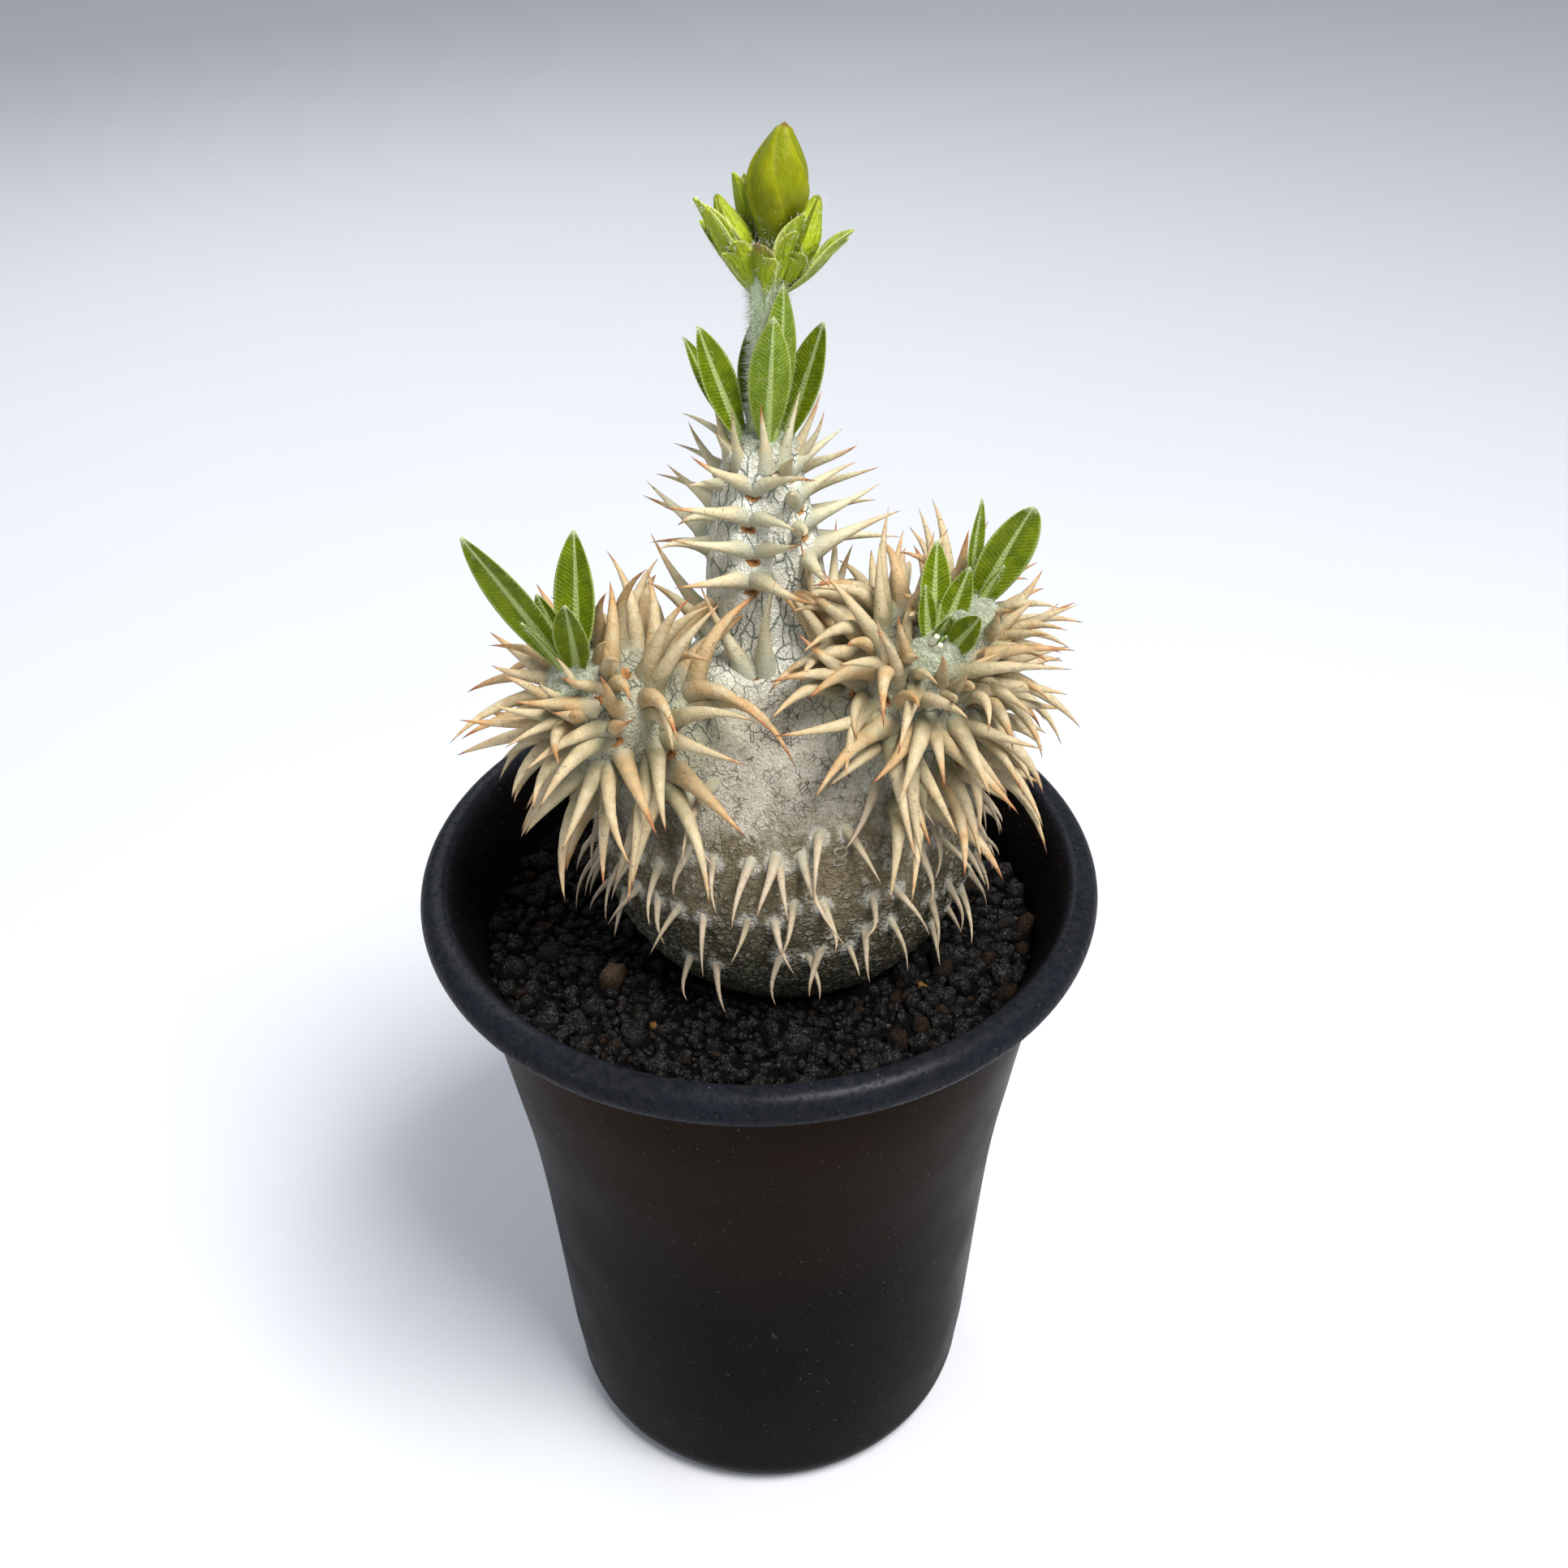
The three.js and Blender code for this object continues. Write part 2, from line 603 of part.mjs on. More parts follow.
// Two triangles across each grid edge that the zero crosses
function addFaces(triangles, values, index, vertexOf, cell, counts) {
  for (let axis = 0; axis < 3; axis += 1) {
    const [u, v] = [(axis + 1) % 3, (axis + 2) % 3];
    if (cell[u] === 0 || cell[v] === 0 || cell[axis] + 1 >= counts[axis]) continue;
    const next = [...cell];
    next[axis] += 1;
    const [here, there] = [values[index(...cell)], values[index(...next)]];
    if (here < 0 === there < 0) continue;
    const corner = (du, dv) => {
      const moved = [...cell];
      moved[u] -= du;
      moved[v] -= dv;
      return vertexOf.get(index(...moved));
    };
    const [a, b, c, d] = [corner(1, 1), corner(0, 1), corner(0, 0), corner(1, 0)];
    if (here < 0) triangles.push(a, b, c, a, c, d);
    else triangles.push(a, c, b, a, d, c);
  }
}

// Spines

// The place on a stem's line at a distance back from its growing tip
function alongStem(stem, distance) {
  let left = distance - stem.radii.at(-1);
  for (let i = stem.points.length - 1; i > 0; i -= 1) {
    const end = vec(stem.points[i]);
    const start = vec(stem.points[i - 1]);
    const length = end.distanceTo(start);
    if (left <= length || i === 1) {
      const axis = end.clone().sub(start).normalize();
      const share = THREE.MathUtils.clamp(left / length, 0, 1);
      const radius = mix(stem.radii[i], stem.radii[i - 1], share);
      return { point: end.addScaledVector(axis, -left), axis, radius };
    }
    left -= length;
  }
  throw new Error("A stem needs two points");
}

// Nodes down a stem: each has its root on the skin, the way to the tip, and its age from 0 to 1
function stemNodes(stem, rule, seed) {
  const nodes = [];
  for (let i = 0; i < rule.nodes; i += 1) {
    const { point, axis, radius } = alongStem(stem, rule.first + rule.pitch * i);
    const [side, other] = squareTo(axis);
    const out = side.multiplyScalar(Math.cos(nodeAngle(rule, i, seed)))
      .addScaledVector(other, Math.sin(nodeAngle(rule, i, seed)));
    const root = marchOut(point, out);
    if (root.distance > FARTHEST_ROOT.share * radius + FARTHEST_ROOT.extra) continue;
    nodes.push({ root: root.point, axis, age: i / (rule.nodes - 1), seed: seed + SEED_STEP * i });
  }
  return nodes;
}

// The turn of a rule's node about its stem
function nodeAngle(rule, i, seed) {
  return radians(rule.start + rule.divergence * i + rule.jitter * (chance(seed + i) - 0.5));
}

// Nodes over the globe, from its shoulder down to just over the soil
function globeNodes(rule, seed) {
  const centre = vec(GLOBE_CENTRE);
  const nodes = [];
  for (let i = 0; i < rule.nodes; i += 1) {
    const age = i / (rule.nodes - 1);
    const rise = mix(rule.highest, rule.lowest, age);
    const flat = Math.sqrt(1 - rise * rise);
    const angle = nodeAngle(rule, i, seed);
    const out = new THREE.Vector3(flat * Math.cos(angle), flat * Math.sin(angle), rise);
    const root = marchOut(centre, out);
    if (root.distance > GLOBE_FARTHEST_ROOT * GLOBE_RADII[0]) continue;
    nodes.push({ root: root.point, axis: UP, age, seed: seed + SEED_STEP * i });
  }
  return nodes;
}

// The pair of spines of a node, each as three points of a curve and a radius
function spinePair(node, rule) {
  const normal = bodyNormal(node.root).normalize();
  const across = new THREE.Vector3().crossVectors(normal, node.axis).normalize();
  const upward = new THREE.Vector3().crossVectors(across, normal);
  const grown = Math.sqrt(node.age);
  return [-1, 1].map((side) => {
    const draw = (k) => chance(node.seed + side * 3 + k) - 0.5;
    const vary = SPINE_VARIETY;
    const length = mix(rule.length[0], rule.length[1], grown) * (1 + vary.length * draw(50));
    const radius = mix(rule.radius[0], rule.radius[1], grown) * (1 + vary.radius * draw(60));
    const root = node.root.clone().addScaledVector(across, side * rule.pairGap / 2);
    const start = normal.clone()
      .addScaledVector(upward, mix(rule.lift[0], rule.lift[1], grown) + vary.lift * draw(70))
      .addScaledVector(across, side * rule.spread + vary.spread * draw(80))
      .normalize();
    const end = start.clone()
      .addScaledVector(UP, -mix(rule.droop[0], rule.droop[1], node.age) + vary.droop * draw(90))
      .addScaledVector(across, side * vary.parting + vary.drift * draw(95))
      .normalize();
    const foot = root.addScaledVector(start, -SPINE_SUNK);
    const bend = foot.clone().addScaledVector(start, SPINE_SUNK + SPINE_BEND * length);
    const tip = bend.clone().addScaledVector(end, (1 - SPINE_BEND) * length);
    return { foot, bend, tip, radius, stations: rule.stations };
  });
}

function spineSolid({ foot, bend, tip, radius, stations }) {
  const curve = new THREE.QuadraticBezierCurve3(foot, bend, tip);
  const rings = stations.map((t) => {
    const reach = SPINE_FLARE * radius * (1 - t ** SPINE_TAPER);
    return roundRing(curve.getPoint(t), curve.getTangent(t), SPINE_SIDES, () => reach);
  });
  return loft([...rings, [tip]]);
}

// The body with its spines. A spine that would pass through a leaf isn't there.
function makeCaudex(leafSpaces) {
  const groups = [
    [stemNodes(NECK, NECK_SPINES, 1000), NECK_SPINES],
    [stemNodes(NECK, COLLAR_SPINES, 1500), COLLAR_SPINES],
    [stemNodes(LEFT_BRANCH, HEAD_SPINES, 2000), HEAD_SPINES],
    [stemNodes(RIGHT_FRONT, HEAD_SPINES, 3000), HEAD_SPINES],
    [stemNodes(RIGHT_BACK, HEAD_SPINES, 4000), HEAD_SPINES],
    [globeNodes(GLOBE_SPINES, 5000), GLOBE_SPINES],
  ];
  const spines = groups
    .flatMap(([nodes, rule]) => nodes.flatMap((node) => spinePair(node, rule)))
    .map(spineSolid)
    .filter((spine) => leafSpaces.every((space) => spine.intersect(space).isEmpty()));
  return withoutAll(wasm.Manifold.union([bodySkin(), ...spines]), leafSpaces);
}

// Leaves and bracts

// A blade from foot to tip: folded along its midrib, arched by bow, inner face towards inward
function bladeSolid({ foot, tip, width, bow, inward, fold, stations }, grow = 0) {
  const line = tip.clone().sub(foot);
  const length = line.length();
  const face = inward.clone().addScaledVector(line, -inward.dot(line) / line.lengthSq()).normalize();
  const start = foot.clone().addScaledVector(line, -grow / length);
  const middle = foot.clone().addScaledVector(line, 0.5).addScaledVector(face, bow);
  const curve = new THREE.QuadraticBezierCurve3(start, middle, tip);
  const rings = stations.map((t, i) => {
    const along = curve.getTangent(t);
    const across = new THREE.Vector3().crossVectors(along, face).normalize();
    const inner = new THREE.Vector3().crossVectors(across, along);
    const half = width / 2 * bladeWidth(t) + grow;
    const flat = i === 0;
    const raise = flat ? 0 : fold * half;
    const wave = flat ? 0 : WAVE_SHARE * length * Math.sin(WAVE_TURN * t);
    const point = (u, v) => curve.getPoint(t).addScaledVector(across, u).addScaledVector(inner, v);
    const thin = BLADE_THICKNESS / 2 + grow;
    const thick = MIDRIB_THICKNESS / 2 + grow;
    return [
      point(-half, raise + wave + thin), point(0, thin), point(half, raise - wave + thin),
      point(half, raise - wave - thin), point(0, thin - 2 * thick), point(-half, raise + wave - thin),
    ];
  });
  return loft([...rings, [tip.clone().addScaledVector(line, grow / length)]]);
}

// The share of a blade's full width at a share of its length
function bladeWidth(t) {
  return Math.max(BLADE_FOOT_SHARE, Math.sin(Math.PI * t ** BLADE_SKEW) ** BLADE_FULLNESS);
}

// A rosette of leaves on a round core that sits in the end of a stem
function tuft({ stem, leaves, core: { radius, ring, sunk } }, grow = 0) {
  const { point, axis } = alongStem(stem, 0);
  const heart = point.clone().addScaledVector(axis, -sunk);
  const solids = leaves.map(({ tip, width }) => {
    const out = vec(tip);
    const spread = out.clone().addScaledVector(axis, -out.dot(axis)).normalize();
    const foot = heart.clone().addScaledVector(spread, ring);
    const inward = axis.clone().addScaledVector(spread, -1);
    const blade = { foot, tip: point.clone().add(out), width, inward, ...LEAF_FORM };
    return bladeSolid(blade, grow);
  });
  const core = new THREE.DodecahedronGeometry(radius + CORE_GROWTH * grow, 0);
  core.translate(heart.x, heart.y, heart.z);
  return wasm.Manifold.union([solidOf(core), ...solids]);
}

// A bud or stalk from foot to tip with a radius at each station
function spindle(foot, tip, stations, radii, sides, grow = 0, foldAt = () => 1) {
  const axis = tip.clone().sub(foot).normalize();
  const rings = stations.map((t, i) => {
    const centre = foot.clone().lerp(tip, t).addScaledVector(axis, i === 0 ? -grow : 0);
    return roundRing(centre, axis, sides, (angle) => radii[i] * foldAt(angle, t) + grow);
  });
  return loft([...rings, [tip.clone().addScaledVector(axis, grow)]]);
}

function makeStalk(grow = 0) {
  const [foot, top] = [vec(STALK_FOOT), vec(STALK_TOP)];
  const axis = top.clone().sub(foot).normalize();
  const rings = STALK_RADII.map((radius, i) => {
    const share = i / (STALK_RADII.length - 1);
    const centre = foot.clone().lerp(top, share).addScaledVector(axis, (2 * share - 1) * grow);
    return roundRing(centre, axis, STALK_SIDES, () => radius + grow);
  });
  return loft(rings);
}

// The main bud: its petals overlap in twisted folds
function makeBud(grow = 0) {
  const foldAt = (angle, t) => {
    const turn = (angle * BUD_FOLDS / (2 * Math.PI) + BUD_TWIST * t) % 1;
    return 1 + BUD_FOLD_DEPTH * (turn - 0.5) * Math.min(1, BUD_FOLD_RISE * t);
  };
  return spindle(vec(BUD_FOOT), vec(BUD_TOP), BUD_STATIONS, BUD_RADII, BUD_SIDES, grow, foldAt);
}

// Bracts round a side bud, or round the main bud where the group has none of its own
function bractGroup({ bud, blades }, grow = 0) {
  const { foot: budFoot, tip: budTip } = bud ?? { foot: BUD_FOOT, tip: BUD_TOP };
  const heart = vec(budFoot).lerp(vec(budTip), BRACT_HEART);
  const solids = blades.map(({ foot, tip, width, bow }) => {
    const middle = vec(foot).lerp(vec(tip), 0.5);
    const inward = heart.clone().sub(middle);
    const blade = { foot: vec(foot), tip: vec(tip), width, bow, inward, ...BRACT_FORM };
    return bladeSolid(blade, grow);
  });
  if (bud) {
    const ends = [vec(bud.foot), vec(bud.tip)];
    solids.push(spindle(...ends, SIDE_BUD_STATIONS, bud.radii, SIDE_BUD_SIDES, grow));
  }
  return wasm.Manifold.union(solids);
}

// The whole plant in its pot

function withoutAll(solid, spaces) {
  return spaces.reduce((rest, space) => rest.subtract(space), solid);
}

// Pieces of one kind, each clear of the spaces that are taken and of the pieces before it
function makeInTurn(groups, make, colour, taken) {
  const spaces = [...taken];
  return Object.entries(groups).map(([name, group]) => {
    const piece = withoutAll(make(group), spaces);
    spaces.push(make(group, SEAT_GAP));
    return [name, piece, colour];
  });
}

function makePieces() {
  const stalkSpace = makeStalk(SEAT_GAP);
  const leafSpaces = Object.values(TUFTS).map((group) => tuft(group, SEAT_GAP));
  return [
    ["pot", makePot(), "pot"],
    ["soil", makeSoil(), "soil"],
    ["caudex", makeCaudex(leafSpaces), "bark"],
    ...makeInTurn(TUFTS, tuft, "leaf", [stalkSpace]),
    ["flower_stalk", makeStalk(), "stalk"],
    ...makeInTurn(BRACTS, bractGroup, "bract", [stalkSpace, makeBud(SEAT_GAP)]),
    ["flower_bud", makeBud(), "bud"],
  ];
}

const pottedPlant = new THREE.Group();
for (const [name, solid, colour] of makePieces()) pottedPlant.add(meshOf(name, solid, colour));

export default pottedPlant;
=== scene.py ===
"""A potted Pachypodium enigmaticum, dressed over its CAD frame.

Forms are worked out in millimetres by the same rules as the solids, and become metres when a mesh is made.
The plant's front faces -Y, and the origin is at the centre of the pot's foot.
"""

import math

import bmesh
import bpy
import numpy as np
from bpy.props import FloatProperty, FloatVectorProperty, IntProperty, PointerProperty
from mathutils import Matrix, Vector
from mathutils.bvhtree import BVHTree


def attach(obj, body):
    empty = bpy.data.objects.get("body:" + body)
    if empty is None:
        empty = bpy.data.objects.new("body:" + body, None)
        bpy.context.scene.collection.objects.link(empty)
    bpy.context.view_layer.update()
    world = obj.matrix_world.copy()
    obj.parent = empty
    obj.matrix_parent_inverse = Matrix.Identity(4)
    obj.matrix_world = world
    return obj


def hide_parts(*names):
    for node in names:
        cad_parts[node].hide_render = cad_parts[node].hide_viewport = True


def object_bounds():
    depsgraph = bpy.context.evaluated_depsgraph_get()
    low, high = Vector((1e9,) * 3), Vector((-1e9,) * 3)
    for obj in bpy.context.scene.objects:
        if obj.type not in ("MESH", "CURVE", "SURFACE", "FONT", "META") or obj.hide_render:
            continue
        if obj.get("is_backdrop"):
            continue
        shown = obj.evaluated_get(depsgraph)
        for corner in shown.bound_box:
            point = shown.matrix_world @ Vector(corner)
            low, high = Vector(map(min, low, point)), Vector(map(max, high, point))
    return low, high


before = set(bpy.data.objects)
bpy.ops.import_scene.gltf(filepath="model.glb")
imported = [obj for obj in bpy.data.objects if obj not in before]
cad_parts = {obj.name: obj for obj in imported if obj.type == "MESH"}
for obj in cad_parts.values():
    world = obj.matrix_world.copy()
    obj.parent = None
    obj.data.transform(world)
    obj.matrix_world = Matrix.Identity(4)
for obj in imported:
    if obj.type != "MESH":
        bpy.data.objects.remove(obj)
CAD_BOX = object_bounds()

bl_info = {
    "name": "Potted Pachypodium",
    "version": (1, 0, 0),
    "blender": (4, 5, 0),
    "location": "3D View > Sidebar > Plant",
    "description": "Builds a spiny caudex plant with leaves and a flower bud in a round black pot",
    "category": "Add Mesh",
}

MM = 0.001
UP = np.array([0.0, 0.0, 1.0])

# Camera, as fitted to the view that the plant is shown in
CAMERA_PLACE = (-4.78, -211.94, 286.86)
CAMERA_YAW = 2.377
CAMERA_PITCH = 36.546
CAMERA_ROLL = 0.639
CAMERA_LENS = 40.06
CAMERA_SENSOR = 36

# Stage: where the lights aim, and each light's place and size in metres and its colour
LIGHT_TARGET = (0, 0, 0.13)
LIGHTS = {
    "key": ((0.26, -0.3, 0.88), 0.36, (1, 0.98, 0.95)),
    "fill": ((-0.6, -0.5, 0.5), 0.6, (0.93, 0.96, 1)),
    "back": ((-0.25, 0.6, 0.6), 0.5, (0.95, 0.98, 1)),
}
FLOOR_HALF_WIDTH = 1600
FLOOR_THICKNESS = 4

# Pot
POT_HEIGHT = 116
RIM_RADIUS = 52.5
LIP_HALF_WIDTH = 3
POT_WALL = 1.6
FOOT_RADIUS = 31.6
FOOT_WIDTH = 3
FOOT_HEIGHT = 3
CORNER_WIDTH = 4.5
CORNER_HEIGHT = 7
DRAIN_RADIUS = 6
NOTCH_WIDTH = 13
NOTCH_ANGLES = (-47, 133)
WALL_LINE = ((36.9, 15), (39.5, 58), (42.4, 81), (44.4, 95), (45.7, 109.6))
NOTCH_TAPER = 0.8
SHARP_ANGLE = 38
# Where the lip's round starts and ends, in degrees
LIP_ARC = (-120, 105)
# The funnel from the lip down to the inner wall: radii and heights
LIP_FUNNEL = ((48, 115.2), (46.9, 113.4), (45.7, 111.2), (44.8, 108.8), (44.1, 106.8))
FUNNEL_FOOT = 105.2

# Soil
SOIL_TOP = 103
SOIL_RELIEF = 1.2
BROAD_WAVE = (0.35, (0.31, 0, 1.2), (0, 0.27, -0.4))
RUBBLE_WAVE = (0.65, (2.9, 1.7, 0), (-2.1, 3.3, 0))
SOIL_WALL_HEIGHTS = (81, 58, 12)
SOIL_WALL_GAP = 0.4
BED_SUNK = 0.9
HOLE_HEIGHTS = (109, 103, 99, 95, 91, 86, 80)
HOLE_BOTTOM = (3.4, 76)
SEAT_GAP = 0.3
BED_RINGS = 46
BED_SIDES = 160
HOLE_SIDES = 64
# Grains lie to this depth under the soil's top, clear of the pot's wall, and end between two distances
# from the plant
GROUND_DEPTH = 4
GRAIN_WALL_GAP = 0.8
GRAIN_PLANT_GAP = (0.3, 1.6)
# For each layer: its smallest and largest grain in metres, how lumpy they are, and what it adds to the seed
GRAIN_LAYERS = ((0.0005, 0.0011, 1.5, 0), (0.0009, 0.0018, 1.5, 20), (0.0013, 0.0031, 1.8, 40))
# The least distance between grains of the middle layer, in metres
MIDDLE_SPACING = 0.0021
# The least and the greatest stretch of a grain along its three sides
GRAIN_SHAPES = ((0.62, 0.62, 0.5), (1.1, 1.1, 0.85))
GRAIN_LUMP_SIZE = 1.1
# The most grains on a square metre, before the least distance thins them out
MOST_GRAINS = 2.5e6

# Woody body: each stem is the points of its middle line, and its radii there
GLOBE_CENTRE = np.array([4.5, 3, 122.5])
GLOBE_RADII = np.array([29.3, 29.3, 28.5])
ROOT = (((4.5, 3, 102), (4.5, 3, 84)), (14, 7))
NECK = (
    ((4, 3.5, 142), (2.4, 5, 156), (1.7, 5.3, 167), (1.5, 5.4, 174.5), (1.8, 5.4, 180.6)),
    (13, 9, 8, 6.4, 5),
)
LEFT_BRANCH = (
    ((-6, -1, 136), (-14.5, -7, 146), (-20, -11.6, 152.8), (-23.2, -14.6, 157)),
    (13, 10.4, 8.2, 5.2),
)
RIGHT_FRONT = (
    ((12, -1, 136), (18.5, -6.5, 146.5), (21.9, -10.8, 153.6), (23.4, -13.2, 158)),
    (13, 10.4, 8, 5),
)
RIGHT_BACK = (((18.5, -5, 147), (25, -7.5, 156), (28.5, -9.7, 162.2)), (9.6, 7.8, 4.8))
FILLET = 7
FORK_FILLET = 4
BODY_BOX = ((-38, -36, 75), (46, 38, 193))
SLOPE_STEP = 0.05
MARCH_STEP = 0.3
MARCH_REACH = 80
HALVINGS = 12
# How often the skin's points are moved on to the body, and the least slope that is reckoned with
SKIN_MOVES = 3
LEAST_SLOPE = 0.2
# Relief of the skin: how wide the cushions under the spines are, how high each kind stands, and cell sizes
COLLAR_WIDTH = 1.7
MOUND_WIDTH = 2.1
COLLAR_LIFT = 0.45
MOUND_LIFT = 0.65
PIT_DEPTH = 0.85
SCALE_LIFT = 0.55
SCALE_SIZE = 1.5
WART_LIFT = 0.5
WART_SIZE = 4.5
WAVE_LIFT = 0.35
WAVE_SIZE = 9
# An oval pit under a pair of spines: how far under it, its half width and its half height
PIT_DROP = 1.9
PIT_HALF_WIDTH = 1.15
PIT_HALF_HEIGHT = 0.75

# Spines
GOLDEN_ANGLE = 137.5
TWO_FIFTHS = 144
SPINE_SUNK = 2.2
SPINE_FLARE = 1.25
SPINE_BEND = 0.45
SPINE_STATIONS = (0, 0.1, 0.2, 0.31, 0.43, 0.56, 0.69, 0.81, 0.91, 1)
# How much more a spine bows than its two straight parts, and how far its end may swing
SPINE_BOW = 0.26
SPINE_HOOKS = (1.4, 2.3, 3.4)
NECK_SPINES = {
    "nodes": 24, "first": 3.2, "pitch": 0.88, "divergence": TWO_FIFTHS, "start": -88, "jitter": 8,
    "pair_gap": 3.4, "spread": 0.95, "lift": (0.9, 0.05), "droop": (-0.1, 0.12),
    "length": (7.5, 12.5), "radius": (0.9, 1.3), "bare_from": 19,
}
NECK_CROWN = {
    "nodes": 7, "first": 0.6, "pitch": 0.5, "divergence": TWO_FIFTHS, "start": -52, "jitter": 20,
    "pair_gap": 2.8, "spread": 0.3, "lift": (1.5, 1.1), "droop": (-0.6, -0.3),
    "length": (6.5, 8.5), "radius": (0.8, 0.95),
}
COLLAR_SPINES = {
    "nodes": 5, "first": 29, "pitch": 0.9, "divergence": TWO_FIFTHS, "start": -88, "jitter": 8,
    "pair_gap": 3.6, "spread": 0.35, "lift": (1.1, 1.1), "droop": (-0.3, -0.3),
    "length": (14, 14), "radius": (1.4, 1.4),
}
HEAD_SPINES = {
    "nodes": 19, "first": 2.4, "pitch": 1.02, "divergence": GOLDEN_ANGLE, "start": -70, "jitter": 8,
    "pair_gap": 3.8, "spread": 0.5, "lift": (1.1, -0.2), "droop": (0.05, 1),
    "length": (9, 16.5), "radius": (1, 1.45),
}
HEAD_CROWN = {
    "nodes": 7, "first": 0.35, "pitch": 0.42, "divergence": GOLDEN_ANGLE, "start": -20, "jitter": 20,
    "pair_gap": 2.6, "spread": 0.45, "lift": (1.2, 0.6), "droop": (-0.3, 0.2),
    "length": (5, 9), "radius": (0.75, 1.05),
}
GLOBE_SPINES = {
    "nodes": 39, "highest": 0.68, "lowest": -0.26, "divergence": GOLDEN_ANGLE, "start": -92, "jitter": 14,
    "pair_gap": 4.2, "spread": 0.4, "lift": (-0.8, -1), "droop": (1.4, 1.6),
    "length": (14.5, 7), "radius": (1.3, 0.85),
}
SPINE_VARIETY = {"length": 0.3, "radius": 0.16, "lift": 0.3, "spread": 0.35, "droop": 0.35, "drift": 0.4}
# How far the ends of a pair's two spines part
SPINE_PARTING = 0.2
# What each random draw of a spine adds to its seed
DRAWS = {
    "rise": 30, "sway": 35, "tone": 40, "length": 50, "radius": 60, "lift": 70, "spread": 80, "droop": 90,
    "drift": 95,
}
SEED_STEP = 10
FARTHEST_ROOT = (1.7, 2)
GLOBE_FARTHEST_ROOT = 1.2
# A spine stays clear of leaves by this share of its half thickness and this length
LEAF_GAP = (0.8, 0.1)
# A second spiral beside the first one makes the heads and the globe as dense as the real ones
SECOND_TURN = 68.75
SECOND_SHIFT = -1
GLOBE_SCATTER = 0.2
NECK_FAMILY = 0
HEAD_FAMILY = 1
GLOBE_FAMILY = 2
# For each family: the power that a spine's thickness falls with, its girth, and how much its root flares
TAPERS = (0.95, 1.4, 1)
GIRTHS = (0.92, 0.95, 0.66)
FLARES = (0.6, 0.4, 0.5)
FLARE_LENGTH = 0.2
# The dome's front between the heads is bare: its middle, and how far from it the first spines root
BARE_SPOT = np.array([6.5, -15, 144.8])
BARE_RADIUS = 10
# How much more the second spirals' spines vary
LOOSE = 2.1

# Leaves: tip is measured from the stem's tip, width across the blade, fullness rounds the blade's end, and
# facing is how far the blade rolls towards the front
FRONT = np.array([0, -0.8, 0.6])
BLADE_FOOT_SHARE = 0.3
BRACT_FOOT_SHARE = 0.34
BLADE_ROWS = 30
BLADE_COLUMNS = 17
BLADE_SKEW = 1.15
# Half of a blade's thickness in its middle and at its edge
BLADE_THICKNESS = (0.2, 0.07)
RIB_HEIGHT = 0.3
RIB_WIDTH = 0.4
GROOVE_DEPTH = 0.1
GROOVE_WIDTH = 0.3
# Where a blade's end starts to bend outwards, and how gently
FLICK_START = 0.65
FLICK_SPREAD = 0.12
BLADE_FULLNESS = 0.8
WAVE_SHARE = 0.006
WAVE_TURN = 7
LEAF_BOW = -0.9
LEAF_FOLD = 0.22
BRACT_FOLD = 0.4
BRACT_FULLNESS = 0.68
# Young leaves: their length as a share of a full leaf's, their width, and how near the heart they stand
YOUNG_LENGTH = 0.42
YOUNG_WIDTH = 1.9
YOUNG_PLACE = 0.4
CENTRE_LEAVES = (
    {"tip": (1.3, -5.3, 17.5), "width": 5.7},
    {"tip": (2.7, -3, 21), "width": 5.4},
    {"tip": (-1.3, 4.2, 13), "width": 4.6},
    {"tip": (-8.4, -4.3, 16.2), "width": 5.2, "facing": 0.75},
    {"tip": (-10.3, 0.6, 12.8), "width": 3.8, "facing": 0.45},
    {"tip": (7.9, -2.3, 15.5), "width": 5.2, "facing": 0.75},
    {"tip": (3.4, 5.4, 11.5), "width": 4.2},
)
LEFT_LEAVES = (
    {"tip": (-10.5, -2, 23), "width": 5.4, "facing": 0.4},
    {"tip": (2.6, 8, 18.2), "width": 6, "facing": 0.5},
    {"tip": (-2.6, 3.4, 11.5), "width": 3.6, "facing": 0.5},
    {"tip": (1.6, -3, 13.3), "width": 5, "facing": 0.8},
)
RIGHT_FRONT_LEAVES = (
    {"tip": (-0.6, 6.5, 13.3), "width": 4.4, "facing": 0.4},
    {"tip": (-2.6, 1.2, 9.6), "width": 2.8, "facing": 0.5},
    {"tip": (3.5, 3.5, 10.8), "width": 4, "facing": 0.5},
    {"tip": (4.3, -2.9, 7), "width": 4.2, "facing": 0.5},
    {"tip": (0.6, -1.6, 6.6), "width": 2.6, "facing": 0.5},
)
RIGHT_BACK_LEAVES = (
    {"tip": (5.7, 1, 14.4), "width": 7, "fullness": 0.5, "facing": 0.35},
    {"tip": (-0.6, 3.6, 14.5), "width": 3.2},
    {"tip": (2.4, 4.6, 8), "width": 3.4},
)
# Two tiny white buds in the front rosette of the right branch: foot, tip and radii
WHITE_BUDS = (
    ((22.8, -14.4, 162), (23.88, -16.1, 165.1), (0.25, 0.35, 0.55, 0.4)),
    ((23.4, -15.2, 161.3), (24.32, -16.7, 164.1), (0.25, 0.35, 0.5, 0.36)),
)
